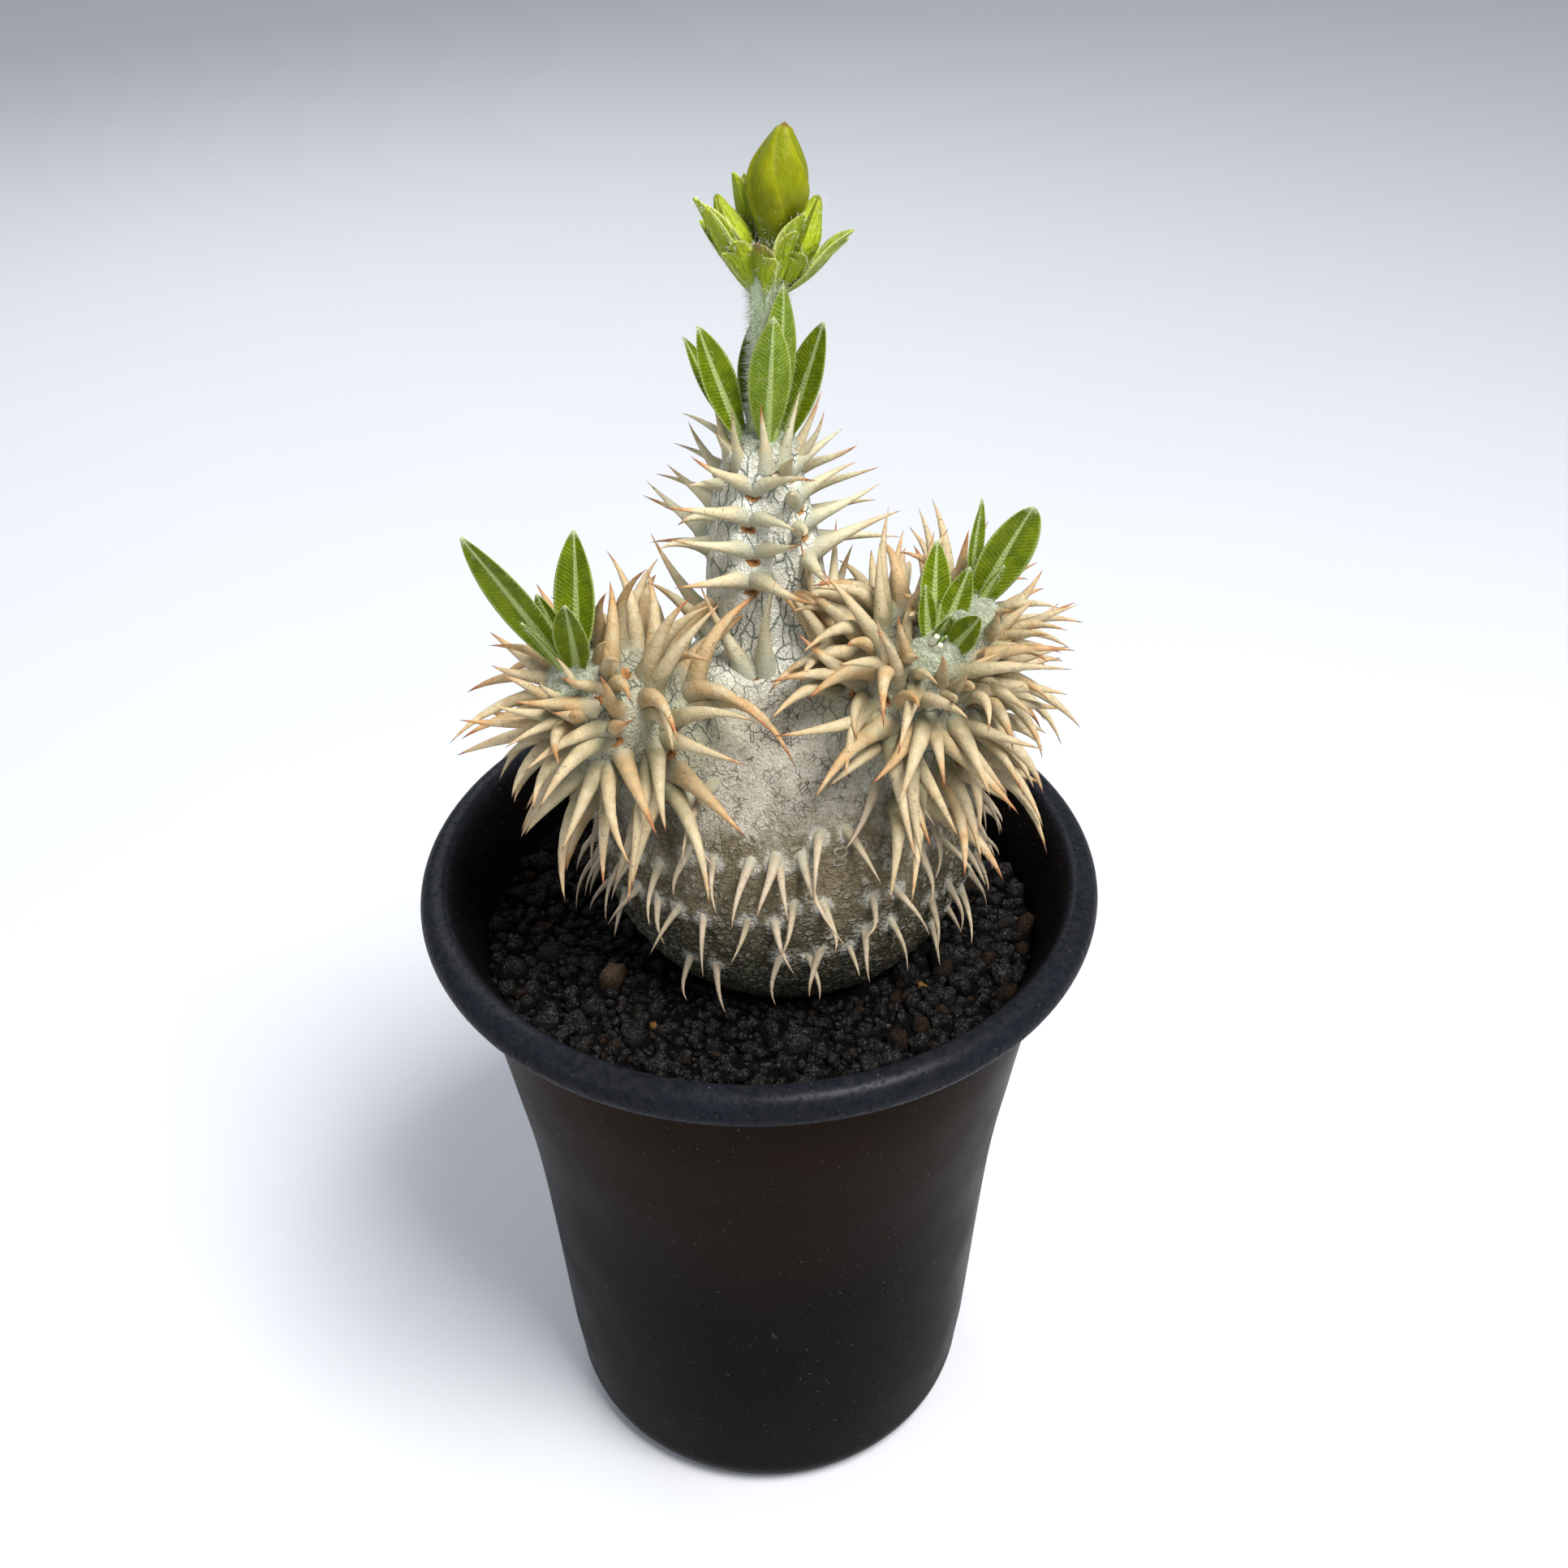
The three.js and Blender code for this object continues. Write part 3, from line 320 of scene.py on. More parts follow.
# The ring that a tuft's leaves stand on: its radius, and how far it is sunk
TUFT_RING = (1, 2.6)
CENTRE_RING = (2.5, 2.9)
TUFTS = {
    "leaf_tuft_centre": (NECK, CENTRE_LEAVES, CENTRE_RING),
    "leaf_tuft_left": (LEFT_BRANCH, LEFT_LEAVES, TUFT_RING),
    "leaf_tuft_right_front": (RIGHT_FRONT, RIGHT_FRONT_LEAVES, TUFT_RING),
    "leaf_tuft_right_back": (RIGHT_BACK, RIGHT_BACK_LEAVES, TUFT_RING),
}

# Flower stalk, bracts and buds
STALK_FOOT = (1.8, 5.4, 185.2)
STALK_TOP = (2.8, 5.2, 206.6)
STALK_RADII = (2.1, 1.8, 1.9, 2.5)
STALK_SIDES = 28
STALK_ROWS = 26
STALK_RIBS = 5
STALK_RIB_HEIGHT = 0.025
STALK_CAP = 1.4
STALK_CAP_SLOPES = (20, 40, 60, 78)
BUD_FOOT = (3, 5.2, 207)
BUD_TOP = (5.2, 5, 225.6)
BUD_STATIONS = (0, 0.14, 0.3, 0.44, 0.58, 0.72, 0.86, 0.95)
BUD_RADII = (1.3, 1.5, 2.3, 3.4, 4.05, 3.6, 2.2, 1.1)
BUD_SIDES = 90
BUD_ROWS = 40
BUD_END = 0.955
BUD_FOLDS = 5
BUD_FOLD_DEPTH = 0.09
BUD_TWIST = 1.5
BUD_FOLD_RISE = 3
SIDE_BUD_STATIONS = (0, 0.25, 0.55, 0.85)
SIDE_BUD_END = 0.97
SIDE_BUD_SIDES = 20
WHITE_BUD_SIDES = 12
# Where the seam between two petals runs, in the turn of a fold, how wide it is and where the fold drops to it
SEAM_PLACE = 0.95
SEAM_WIDTH = 0.045
FOLD_DROP = 0.86
# How far up a bud the point lies that its bracts' inner faces look at
BRACT_HEART = 0.6
# How far down the stalk bracts start, how much wider they are than their table says, and how far their ends
# bend outwards, at least and by chance
BRACT_DROP = 0.9
BRACT_GROWTH = 1.2
BRACT_FLICK = (0.7, 0.8)
# The smaller bract beside each one: how far its end lies aside and down, how far its foot and its end lie
# inwards, its width and bow as shares of the other's, and how far its end bends outwards
INNER_ASIDE = 1.1
INNER_DROP = (1.2, 1.6)
INNER_SHIFT = (0.3, 0.5)
INNER_WIDTH = 0.95
INNER_BOW = 0.85
INNER_FLICK = 0.6
BRACTS = {
    "bract_cluster_left": (
        ((0.9, 5.2, 205.6), (-3.4, 5.4, 217), (0.9, 1.9, 2.4, 1)),
        (
            ((1, 5, 205.4), (-5.6, 4.4, 217.4), 4.6, -2.2),
            ((1.3, 4.4, 206), (-1.6, 1.8, 212.9), 3, -0.8),
            ((1.2, 5.8, 206), (-4.4, 8.4, 214.5), 3.6, -1.4),
        ),
    ),
    "bract_cluster_right": (
        ((4.7, 5.2, 205.6), (9.4, 5.2, 216.6), (0.9, 2, 2.5, 1.2)),
        (
            ((4.8, 5, 205.4), (12.9, 4.6, 213.2), 4.8, -2.4),
            ((4.6, 4.4, 206), (7.2, 1.6, 211.4), 2.8, -0.8),
            ((4.6, 5.8, 206), (9, 8.6, 215), 3.6, -1.4),
        ),
    ),
    "bract_cluster_back": (
        ((2.2, 6.8, 206.2), (0.2, 8.8, 218.4), (0.8, 1.5, 1.5, 0.7)),
        (((2.4, 6.4, 206), (-0.7, 7.4, 219.4), 2.8, -0.9),),
    ),
    "bract_pair_front": (
        None,
        (
            ((2.6, 3.4, 205.4), (2, 1.4, 212.8), 3, -0.7),
            ((3.6, 3.6, 206.2), (6.9, 1.9, 216), 3.8, -1.2),
        ),
    ),
    "bract_back": (None, (((3.6, 6.6, 206), (4.8, 9.6, 216.4), 3.6, -1),)),
}

# Hairs on a square metre for each unit of a setting, their length and thickness in metres, tilt and curl
DOWN = {
    "leaf": (1e6, 0.00055, 0.000016, 0.8, 0.9),
    "stalk": (1.3e6, 0.0014, 0.00003, 0.6, 1.1),
    "bract": (0.45e6, 0.0008, 0.000025, 0.8, 1.1),
    "bud": (0.9e6, 0.0009, 0.000025, 0.8, 1.1),
    "bark": (12e6, 0.0009, 0.00002, 1.0, 1.2),
}
HAIR_CURL_SIZE = 2.5
HAIR_TREE = "Fine hairs"


# Settings


def colour_setting(name, description, default):
    """A colour that a user can change."""
    return FloatVectorProperty(
        name=name, description=description, default=default, subtype="COLOR", size=3, min=0, max=1
    )


def amount_setting(name, description, default):
    """A number from 0 up that a user can change."""
    return FloatProperty(name=name, description=description, default=default, min=0)


def length_setting(name, description, default, least):
    """A small length in metres that a user can change."""
    return FloatProperty(
        name=name, description=description, default=default, unit="LENGTH", precision=5, min=least
    )


class PotSettings(bpy.types.PropertyGroup):
    """Sizes and colours of the pot."""

    segments: IntProperty(name="Segments", description="Sides of the round pot", default=144, min=24)
    wall_colour: colour_setting("Wall", "Colour of the plastic", (0.0038, 0.0033, 0.0032))
    # The lip's colour is lighter and bluer than the wall's: a painted bluish sheen.
    lip_sheen_colour: colour_setting("Lip", "Colour of the worn rolled lip", (0.0075, 0.0092, 0.0135))
    dust_colour: colour_setting("Dust", "Colour of dust and scuffs", (0.32, 0.31, 0.3))


class SoilSettings(bpy.types.PropertyGroup):
    """Sizes and colours of the soil."""

    coarse_spacing: length_setting("Coarse spacing", "Least distance between coarse grains", 0.0033, 0.001)
    fine_spacing: length_setting("Fine spacing", "Least distance between fine grains", 0.00135, 0.0005)
    dark_colour: colour_setting("Dark", "Colour of most grains", (0.005, 0.0046, 0.0046))
    brown_colour: colour_setting("Brown", "Colour of a few grains", (0.040, 0.024, 0.015))
    grey_colour: colour_setting("Grey", "Colour of the palest grains", (0.12, 0.112, 0.10))
    seed: IntProperty(name="Seed", description="Changes where the grains lie", default=4)


class BarkSettings(bpy.types.PropertyGroup):
    """Sizes and colours of the woody body."""

    skin_cell: length_setting("Skin cell", "Size of the skin's faces", 0.00058, 0.0004)
    dome_colour: colour_setting("Dome", "Colour of the pale upper body", (0.57, 0.53, 0.44))
    foot_colour: colour_setting("Foot", "Colour of the dark lower body", (0.085, 0.074, 0.04))
    neck_colour: colour_setting("Neck", "Colour of the whitish neck", (0.82, 0.82, 0.71))
    crack_colour: colour_setting("Cracks", "Colour inside the cracks", (0.18, 0.245, 0.21))
    scar_colour: colour_setting("Scars", "Colour of the pits where leaves stood", (0.44, 0.20, 0.07))


class SpineSettings(bpy.types.PropertyGroup):
    """Sizes and colours of the spines."""

    sides: IntProperty(name="Sides", description="Sides of each spine", default=9, min=3)
    girth: FloatProperty(name="Girth", description="Thickness of the spines", default=0.92, min=0.2, max=2)
    base_colour: colour_setting("Base", "Colour of a spine's lower half", (0.225, 0.21, 0.11))
    middle_colour: colour_setting("Middle", "Colour of a spine's upper half", (0.575, 0.475, 0.295))
    tip_colour: colour_setting("Tip", "Colour near a spine's point", (0.38, 0.13, 0.05))


class LeafSettings(bpy.types.PropertyGroup):
    """Colours and hairs of the leaves."""

    blade_colour: colour_setting("Blade", "Colour of the upper face", (0.082, 0.125, 0.002))
    vein_colour: colour_setting("Veins", "Colour of the side veins", (0.22, 0.29, 0.016))
    midrib_colour: colour_setting("Midrib", "Colour of the midrib", (0.40, 0.50, 0.17))
    under_colour: colour_setting("Underside", "Colour of the lower face", (0.12, 0.19, 0.01))
    hairs: amount_setting("Hairs", "Hairs on a square millimetre of midrib", 9)


class FlowerSettings(bpy.types.PropertyGroup):
    """Colours and hairs of the stalk, the bracts and the buds."""

    stalk_colour: colour_setting("Stalk", "Colour of the stalk", (0.52, 0.60, 0.37))
    bract_colour: colour_setting("Bracts", "Colour of the bracts", (0.37, 0.46, 0.012))
    margin_colour: colour_setting("Margins", "Colour of the bracts' pale margins", (0.58, 0.64, 0.20))
    blush_colour: colour_setting("Blush", "Colour of the bracts' brownish tips", (0.27, 0.13, 0.07))
    bud_colour: colour_setting("Bud", "Colour of the main bud", (0.165, 0.178, 0.002))
    # The bud's brightest colour is painted light on the raised part of each petal.
    bud_painted_light_colour: colour_setting("Bud light", "Colour of the bud's brightest parts", (0.30, 0.295, 0.003))
    hairs: amount_setting("Hairs", "More or fewer hairs on stalk, bracts and buds", 8)


class StageSettings(bpy.types.PropertyGroup):
    """The floor and the lights."""

    floor_colour: colour_setting("Floor", "Colour of the plain floor", (0.72, 0.735, 0.77))
    sky_colour: colour_setting("Sky", "Colour of the light from all round", (0.86, 0.92, 1.0))
    sky_strength: amount_setting("Sky strength", "Light from all round", 0.39)
    key_power: amount_setting("Key light", "Power of the main light in watts", 11.5)
    fill_power: amount_setting("Fill light", "Power of the side light in watts", 1.2)
    back_power: amount_setting("Back light", "Power of the rear light in watts", 2)


class PlantSettings(bpy.types.PropertyGroup):
    """All settings of the potted plant."""

    pot: PointerProperty(type=PotSettings)
    soil: PointerProperty(type=SoilSettings)
    bark: PointerProperty(type=BarkSettings)
    spines: PointerProperty(type=SpineSettings)
    leaves: PointerProperty(type=LeafSettings)
    flower: PointerProperty(type=FlowerSettings)
    stage: PointerProperty(type=StageSettings)


# Node trees


class Signal:
    """A node's output. Each sum or product with it adds a Math node to its tree."""

    def __init__(self, nodes, socket):
        self.nodes = nodes
        self.socket = socket

    def maths(self, operation, first, second=0.0):
        """A Math node on two values or signals."""
        return self.nodes.add("ShaderNodeMath", {"operation": operation}, {0: first, 1: second})

    def __add__(self, other):
        return self.maths("ADD", self, other)

    def __radd__(self, other):
        return self.maths("ADD", other, self)

    def __sub__(self, other):
        return self.maths("SUBTRACT", self, other)

    def __rsub__(self, other):
        return self.maths("SUBTRACT", other, self)

    def __mul__(self, other):
        return self.maths("MULTIPLY", self, other)

    def __rmul__(self, other):
        return self.maths("MULTIPLY", other, self)

    def __truediv__(self, other):
        return self.maths("DIVIDE", self, other)

    def __abs__(self):
        return self.maths("ABSOLUTE", self)

    def fraction(self):
        """What is left of the whole number."""
        return self.maths("FRACT", self)

    def at_most(self, other):
        """The smaller of two."""
        return self.maths("MINIMUM", self, other)


class Nodes:
    """A node tree that is being built."""

    def __init__(self, tree):
        self.tree = tree

    def add(self, kind, settings=None, values=None, output=0):
        """A new node's output. The settings are set before the sockets are fed."""
        node = self.tree.nodes.new(kind)
        for name, value in (settings or {}).items():
            setattr(node, name, value)
        for key, value in (values or {}).items():
            self.feed(node.inputs[key], value)
        return Signal(self, node.outputs[output])

    def feed(self, socket, value):
        """Links a signal to a socket, or sets the socket's own value."""
        if isinstance(value, Signal):
            self.tree.links.new(value.socket, socket)
        elif socket.type == "RGBA":
            socket.default_value = (*tuple(value)[:3], 1)
        else:
            socket.default_value = value

    def shift(self, place, offset):
        """A vector moved by another."""
        return self.add("ShaderNodeVectorMath", {"operation": "ADD"}, {0: place, 1: offset})

    def stretch(self, place, factors):
        """A vector times another, part by part."""
        return self.add("ShaderNodeVectorMath", {"operation": "MULTIPLY"}, {0: place, 1: factors})

    def scaled(self, place, factor):
        """A vector times a number."""
        return self.add("ShaderNodeVectorMath", {"operation": "SCALE"}, {0: place, "Scale": factor})

    def noise(self, place, size, detail=3.0, roughness=0.5, output=0):
        """Noise whose lumps are about size wide, in the units of the place."""
        values = {"Vector": place, "Scale": 1 / size, "Detail": detail, "Roughness": roughness}
        return self.add("ShaderNodeTexNoise", None, values, output)

    def swing(self, place, size, detail=3.0, roughness=0.5):
        """A vector from noise, whose parts lie between minus and plus one half."""
        return self.shift(self.noise(place, size, detail, roughness, 1), (-0.5, -0.5, -0.5))


class Finish(Nodes):
    """A material that is being made. Uniform values go straight to the shader's own sockets."""

    def __init__(self, name, **uniform):
        self.material = bpy.data.materials.new(f"{name}_finish")
        self.material.use_nodes = True
        super().__init__(self.material.node_tree)
        self.shader = next(node for node in self.tree.nodes if node.type == "BSDF_PRINCIPLED")
        for label, value in uniform.items():
            self.feed(self.shader.inputs[label.replace("_", " ").title().replace("Ior", "IOR")], value)
        # Place, height and distance from the pot's axis are in millimetres
        self.place = self.scaled(self.add("ShaderNodeTexCoord", output="Object"), 1 / MM)
        self.height = self.add("ShaderNodeSeparateXYZ", None, {0: self.place}, "Z")
        level = self.stretch(self.place, (1, 1, 0))
        self.far = self.add("ShaderNodeVectorMath", {"operation": "LENGTH"}, {0: level}, "Value")

    def read(self, name):
        """A value that the mesh carries at its points."""
        return self.add("ShaderNodeAttribute", {"attribute_name": name}, output="Fac")

    def lumps(self, size, detail=3.0, roughness=0.5):
        """Noise over the piece, which stays near one half."""
        return self.noise(self.place, size, detail, roughness)

    def spots(self, low, high, size, detail=3.0, roughness=0.5):
        """Spots over the piece, which fade in as its noise goes from low to high."""
        return self.rise(self.lumps(size, detail, roughness), low, high)

    def patches(self, size, detail=4.0, roughness=0.6):
        """Noise over the piece that goes all the way from 0 to 1."""
        return self.spots(0.34, 0.66, size, detail, roughness)

    def wander(self, size, amount):
        """The place moved to and fro by up to amount millimetres."""
        return self.shift(self.place, self.scaled(self.swing(self.place, size), 2 * amount))

    def cells(self, place, size, feature="F1", randomness=1.0, output="Distance"):
        """Cells of about size millimetres."""
        values = {"Vector": place, "Scale": 1 / size, "Randomness": randomness}
        return self.add("ShaderNodeTexVoronoi", {"feature": feature}, values, output)

    def rise(self, signal, low, high):
        """Goes smoothly from 0 to 1 as a signal goes from low to high."""
        values = {"Value": signal, "From Min": low, "From Max": high}
        return self.add("ShaderNodeMapRange", {"interpolation_type": "SMOOTHSTEP"}, values)

    def band(self, signal, low, full, fade, high):
        """Is 1 while a signal lies from full to fade, and 0 below low and above high."""
        return self.rise(signal, low, full) * (1 - self.rise(signal, fade, high))

    def cracks(self, place, size, width):
        """Thin lines between cells of about size millimetres."""
        return 1 - self.rise(self.cells(place, size, "DISTANCE_TO_EDGE"), 0.0, width)

    def blend(self, factor, first, second):
        """A colour between two others."""
        return self.add("ShaderNodeMix", {"data_type": "RGBA"}, {0: factor, 6: first, 7: second}, 2)

    def paint(self, factor, colour):
        """Lays a colour over what the finish has so far, as far as the factor says."""
        self.colour = self.blend(factor, self.colour, colour)

    def relief(self, height, depth, under=None):
        """A bump normal, with height from 0 to 1 over depth millimetres."""
        values = {"Height": height, "Distance": depth * MM}
        if under:
            values["Normal"] = under
        return self.add("ShaderNodeBump", None, values)

    def done(self, roughness, normal=None, coat=None):
        """Feeds the shader and returns the material."""
        self.feed(self.shader.inputs["Base Color"], self.colour)
        self.feed(self.shader.inputs["Roughness"], roughness)
        if coat is not None:
            self.feed(self.shader.inputs["Coat Weight"], coat)
        if normal:
            self.feed(self.shader.inputs["Normal"], normal)
        return self.material


class GrowthTree(Nodes):
    """A Geometry Nodes tree with named inputs, which ends in plain geometry with its material."""

    def __init__(self, name, inputs):
        tree = bpy.data.node_groups.new(name, "GeometryNodeTree")
        super().__init__(tree)
        tree.interface.new_socket("Geometry", in_out="INPUT", socket_type="NodeSocketGeometry")
        for label, kind in inputs.items():
            tree.interface.new_socket(label, in_out="INPUT", socket_type="NodeSocket" + kind)
        tree.interface.new_socket("Geometry", in_out="OUTPUT", socket_type="NodeSocketGeometry")
        self.entry = tree.nodes.new("NodeGroupInput")

    def given(self, label):
        """One of the tree's inputs."""
        return Signal(self, self.entry.outputs[label])

    def read(self, name):
        """A number that the geometry carries."""
        return self.add("GeometryNodeInputNamedAttribute", {"data_type": "FLOAT"}, {"Name": name})

    def store(self, geometry, name, value, domain):
        """Geometry that carries one more number."""
        settings = {"data_type": "FLOAT", "domain": domain}
        values = {0: geometry, "Name": name, "Value": value}
        return self.add("GeometryNodeStoreNamedAttribute", settings, values)

    def draw(self, low, high, seed):
        """A random number from low to high."""
        return self.add("FunctionNodeRandomValue", None, {2: low, 3: high, "Seed": seed}, 1)

    def draw_vector(self, low, high, seed):
        """A random vector between two others."""
        settings = {"data_type": "FLOAT_VECTOR"}
        return self.add("FunctionNodeRandomValue", settings, {0: low, 1: high, "Seed": seed}, 0)

    def finish(self, geometry):
        """Ends the tree."""
        smooth = self.add("GeometryNodeSetShadeSmooth", None, {0: geometry})
        plain = self.add("GeometryNodeRealizeInstances", None, {0: smooth})
        painted = self.add("GeometryNodeSetMaterial", None, {0: plain, "Material": self.given("Material")})
        self.feed(self.tree.nodes.new("NodeGroupOutput").inputs[0], painted)
        return self.tree


def grown(host, tree, inputs):
    """The plain mesh that a tree makes on a host object."""
    modifier = host.modifiers.new(tree.name, "NODES")
    modifier.node_group = tree
    for item in tree.interface.items_tree:
        if item.in_out == "INPUT" and item.name in inputs:
            modifier[item.identifier] = inputs[item.name]
    return settled(host, modifier)


def settled(host, modifier):
    """The host's mesh after a modifier, which is then removed."""
    graph = bpy.context.evaluated_depsgraph_get()
    mesh = bpy.data.meshes.new_from_object(
        host.evaluated_get(graph), preserve_all_data_layers=True, depsgraph=graph
    )
    host.modifiers.remove(modifier)
    return mesh


# Meshes


class Skins:
    """Closed skins gathered into one mesh, with the values that their material reads."""

    def __init__(self):
        self.points = []
        self.faces = []
        self.values = {}
        self.count = 0

    def add(self, skin, **values):
        """Adds points and faces, and a value or a row of values for each name."""
        points, faces = skin
        self.points.append(points)
        self.faces.extend([[corner + self.count for corner in face] for face in faces])
        for name, value in values.items():
            self.values.setdefault(name, []).append(np.broadcast_to(value, len(points)))
        self.count += len(points)

    def piece(self, name, material):
        """The finished object."""
        values = {label: np.concatenate(rows) for label, rows in self.values.items()}
        return piece_from(name, np.concatenate(self.points), self.faces, material, values)


def piece_from(name, points, faces, material, values=None, turn_out=True):
    """An object at the origin, from points in millimetres."""
    mesh = bpy.data.meshes.new(name)
    mesh.from_pydata((np.asarray(points) * MM).tolist(), [], faces)
    carry(mesh, values or {})
    if turn_out:
        turn_faces_out(mesh)
    mesh.shade_smooth()
    mesh.materials.append(material)
    return linked(name, mesh)


def carry(mesh, values):
    """Gives a mesh named values, one for each of its points."""
    for name, numbers in values.items():
        attribute = mesh.attributes.new(name, "FLOAT", "POINT")
        attribute.data.foreach_set("value", np.ascontiguousarray(numbers, dtype=np.float32).ravel())


def linked(name, mesh):
    """A new object in the scene."""
    piece = bpy.data.objects.new(name, mesh)
    bpy.context.scene.collection.objects.link(piece)
    return piece


def turn_faces_out(mesh):
    """Merges doubled points and points all faces outwards."""
    form = bmesh.new()
    form.from_mesh(mesh)
    bmesh.ops.remove_doubles(form, verts=form.verts, dist=1e-3 * MM)
    bmesh.ops.recalc_face_normals(form, faces=form.faces)
    form.to_mesh(mesh)
    form.free()


def joined(name, meshes):
    """One object from several meshes."""
    parts = [linked(f"{name}_part", mesh) for mesh in meshes]
    with bpy.context.temp_override(active_object=parts[0], selected_editable_objects=parts):
        bpy.ops.object.join()
    parts[0].name = name
    return parts[0]


def grow_down(host, name, slot, hairs, seed):
    """Stands down on a piece, as one more piece."""
    density, length, thickness, tilt, curl = DOWN[slot]
    inputs = {
        "Density": hairs * density, "Length": length, "Thickness": thickness, "Tilt": tilt, "Curl": curl,
        "Seed": seed, "Material": material_for("hair", hair_finish),
    }
    tree = bpy.data.node_groups.get(HAIR_TREE) or hair_tree()
    dress(linked(name, grown(host, tree, inputs)), slot)


def dress(piece, slot, *nodes):
    """Makes a piece ride on the body, and stand for CAD nodes."""
    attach(piece, "root")
    if nodes:
        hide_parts(*nodes)


def drop(piece):
    """Removes a helper object."""
    bpy.data.objects.remove(piece)


def loft(rings, tip=None):
    """A closed skin through rings of equal size, with a cap at the foot and a cap or a tip at the top."""
    rings = floats(rings)
    stations, sides = rings.shape[:2]
    points = rings.reshape(-1, 3)
    faces = [list(range(sides))[::-1]]
    for low in range(0, (stations - 1) * sides, sides):
        for i in range(sides):
            j = (i + 1) % sides
            faces.append([low + i, low + j, low + sides + j, low + sides + i])
    top = (stations - 1) * sides
    if tip is None:
        faces.append(list(range(top, top + sides)))
        return points, faces
    faces.extend([top + i, top + (i + 1) % sides, len(points)] for i in range(sides))
    return np.vstack([points, tip]), faces


def lathe(profile, segments, closed, centre=(0.0, 0.0)):
    """A profile of radius and height turned about an upright axis."""
    profile = floats(profile)
    angles = np.linspace(0, 2 * math.pi, segments, endpoint=False)
    x = profile[:, None, 0] * np.cos(angles) + centre[0]
    y = profile[:, None, 0] * np.sin(angles) + centre[1]
    z = np.broadcast_to(profile[:, None, 1], x.shape)
    points = np.stack([x, y, z], axis=-1).reshape(-1, 3)
    rows = len(profile)
    faces = []
    for row in range(rows if closed else rows - 1):
        low, high = row * segments, (row + 1) % rows * segments
        for i in range(segments):
            j = (i + 1) % segments
            faces.append([low + i, low + j, high + j, high + i])
    return points, faces


def floats(values):
    """An array of plain numbers."""
    return np.asarray(values, dtype=float)


def unit(vectors):
    """Vectors of length 1."""
    return vectors / np.linalg.norm(vectors, axis=-1, keepdims=True)


def square_to(axis):
    """Two directions square to an axis and to each other."""
    helper = UP if abs(axis[2]) < 0.9 else np.array([1.0, 0.0, 0.0])
    side = unit(np.cross(helper, axis))
    return side, np.cross(axis, side)


def mix(first, second, share):
    """A value between two others."""
    return first + (second - first) * share


def bell(distance, width):
    """Falls from 1 at no distance towards 0 past the width."""
    return np.exp(-((distance / width) ** 2))


def smooth_rise(value, low, high):
    """Goes smoothly from 0 to 1 as a value goes from low to high."""
    share = np.clip((value - low) / (high - low), 0, 1)
    return share * share * (3 - 2 * share)


def chance(seed):
    """A repeatable number from 0 to 1 for each whole number."""
    wave = np.sin(floats(seed) * 12.9898 + 4.1) * 43758.5453
    return wave - np.floor(wave)


def curve_through(points, count):
    """A smooth line of count points that passes through others in their order."""
    points = floats(points)
    ends = np.vstack([2 * points[0] - points[1], points, 2 * points[-1] - points[-2]])
    places = np.linspace(0, len(points) - 1, count)
    index = np.minimum(places.astype(int), len(points) - 2)
    t = (places - index)[:, None]
    a, b, c, d = (ends[index + k] for k in range(4))
    return 0.5 * (2 * b + (c - a) * t + (2 * a - 5 * b + 4 * c - d) * t**2 + (3 * b - a - 3 * c + d) * t**3)


# Woody body, as a distance field that is negative inside


def smooth_min(a, b, width):
    """The smaller of two fields, with a fillet where they meet."""
    h = np.maximum(width - np.abs(a - b), 0) / width
    return np.minimum(a, b) - h * h * width / 4


def globe_field(points):
    """Distance to the globe."""
    scaled = (points - GLOBE_CENTRE) / GLOBE_RADII
    near = np.maximum(np.linalg.norm(scaled, axis=-1), 1e-6)
    steep = np.maximum(np.linalg.norm(scaled / GLOBE_RADII, axis=-1), 1e-9)
    return near * (near - 1) / steep


def stem_field(points, stem):
    """Distance to a stem."""
    line, radii = floats(stem[0]), stem[1]
    nearest = np.full(points.shape[:-1], np.inf)
    for i in range(len(line) - 1):
        along = line[i + 1] - line[i]
        offset = points - line[i]
        share = np.clip(offset @ along / (along @ along), 0, 1)
        radius = mix(radii[i], radii[i + 1], share)
        nearest = np.minimum(nearest, np.linalg.norm(offset - share[..., None] * along, axis=-1) - radius)
    return nearest


def body_field(points):
    """Distance to the whole body."""
    right = smooth_min(stem_field(points, RIGHT_FRONT), stem_field(points, RIGHT_BACK), FORK_FILLET)
    field = smooth_min(globe_field(points), stem_field(points, ROOT), FILLET)
    for other in (stem_field(points, NECK), stem_field(points, LEFT_BRANCH), right):
        field = smooth_min(field, other, FILLET)
    return field


def body_slope(points):
    """The field's slope, which points out of the body."""
    moves = np.eye(3) * SLOPE_STEP
    rises = [body_field(points + move) - body_field(points - move) for move in moves]
    return np.stack(rises, axis=-1) / (2 * SLOPE_STEP)


def march_out(starts, directions):
    """Distances to the body's skin from inner points."""
    steps = np.arange(0, MARCH_REACH, MARCH_STEP)
    fields = body_field(starts[:, None] + steps[:, None] * directions[:, None])
    high = steps[np.argmax(fields >= 0, axis=1)]
    low = high - MARCH_STEP
    for _ in range(HALVINGS):
        middle = (low + high) / 2
        inside = body_field(starts + middle[:, None] * directions) < 0
        low = np.where(inside, middle, low)
        high = np.where(inside, high, middle)
    return high


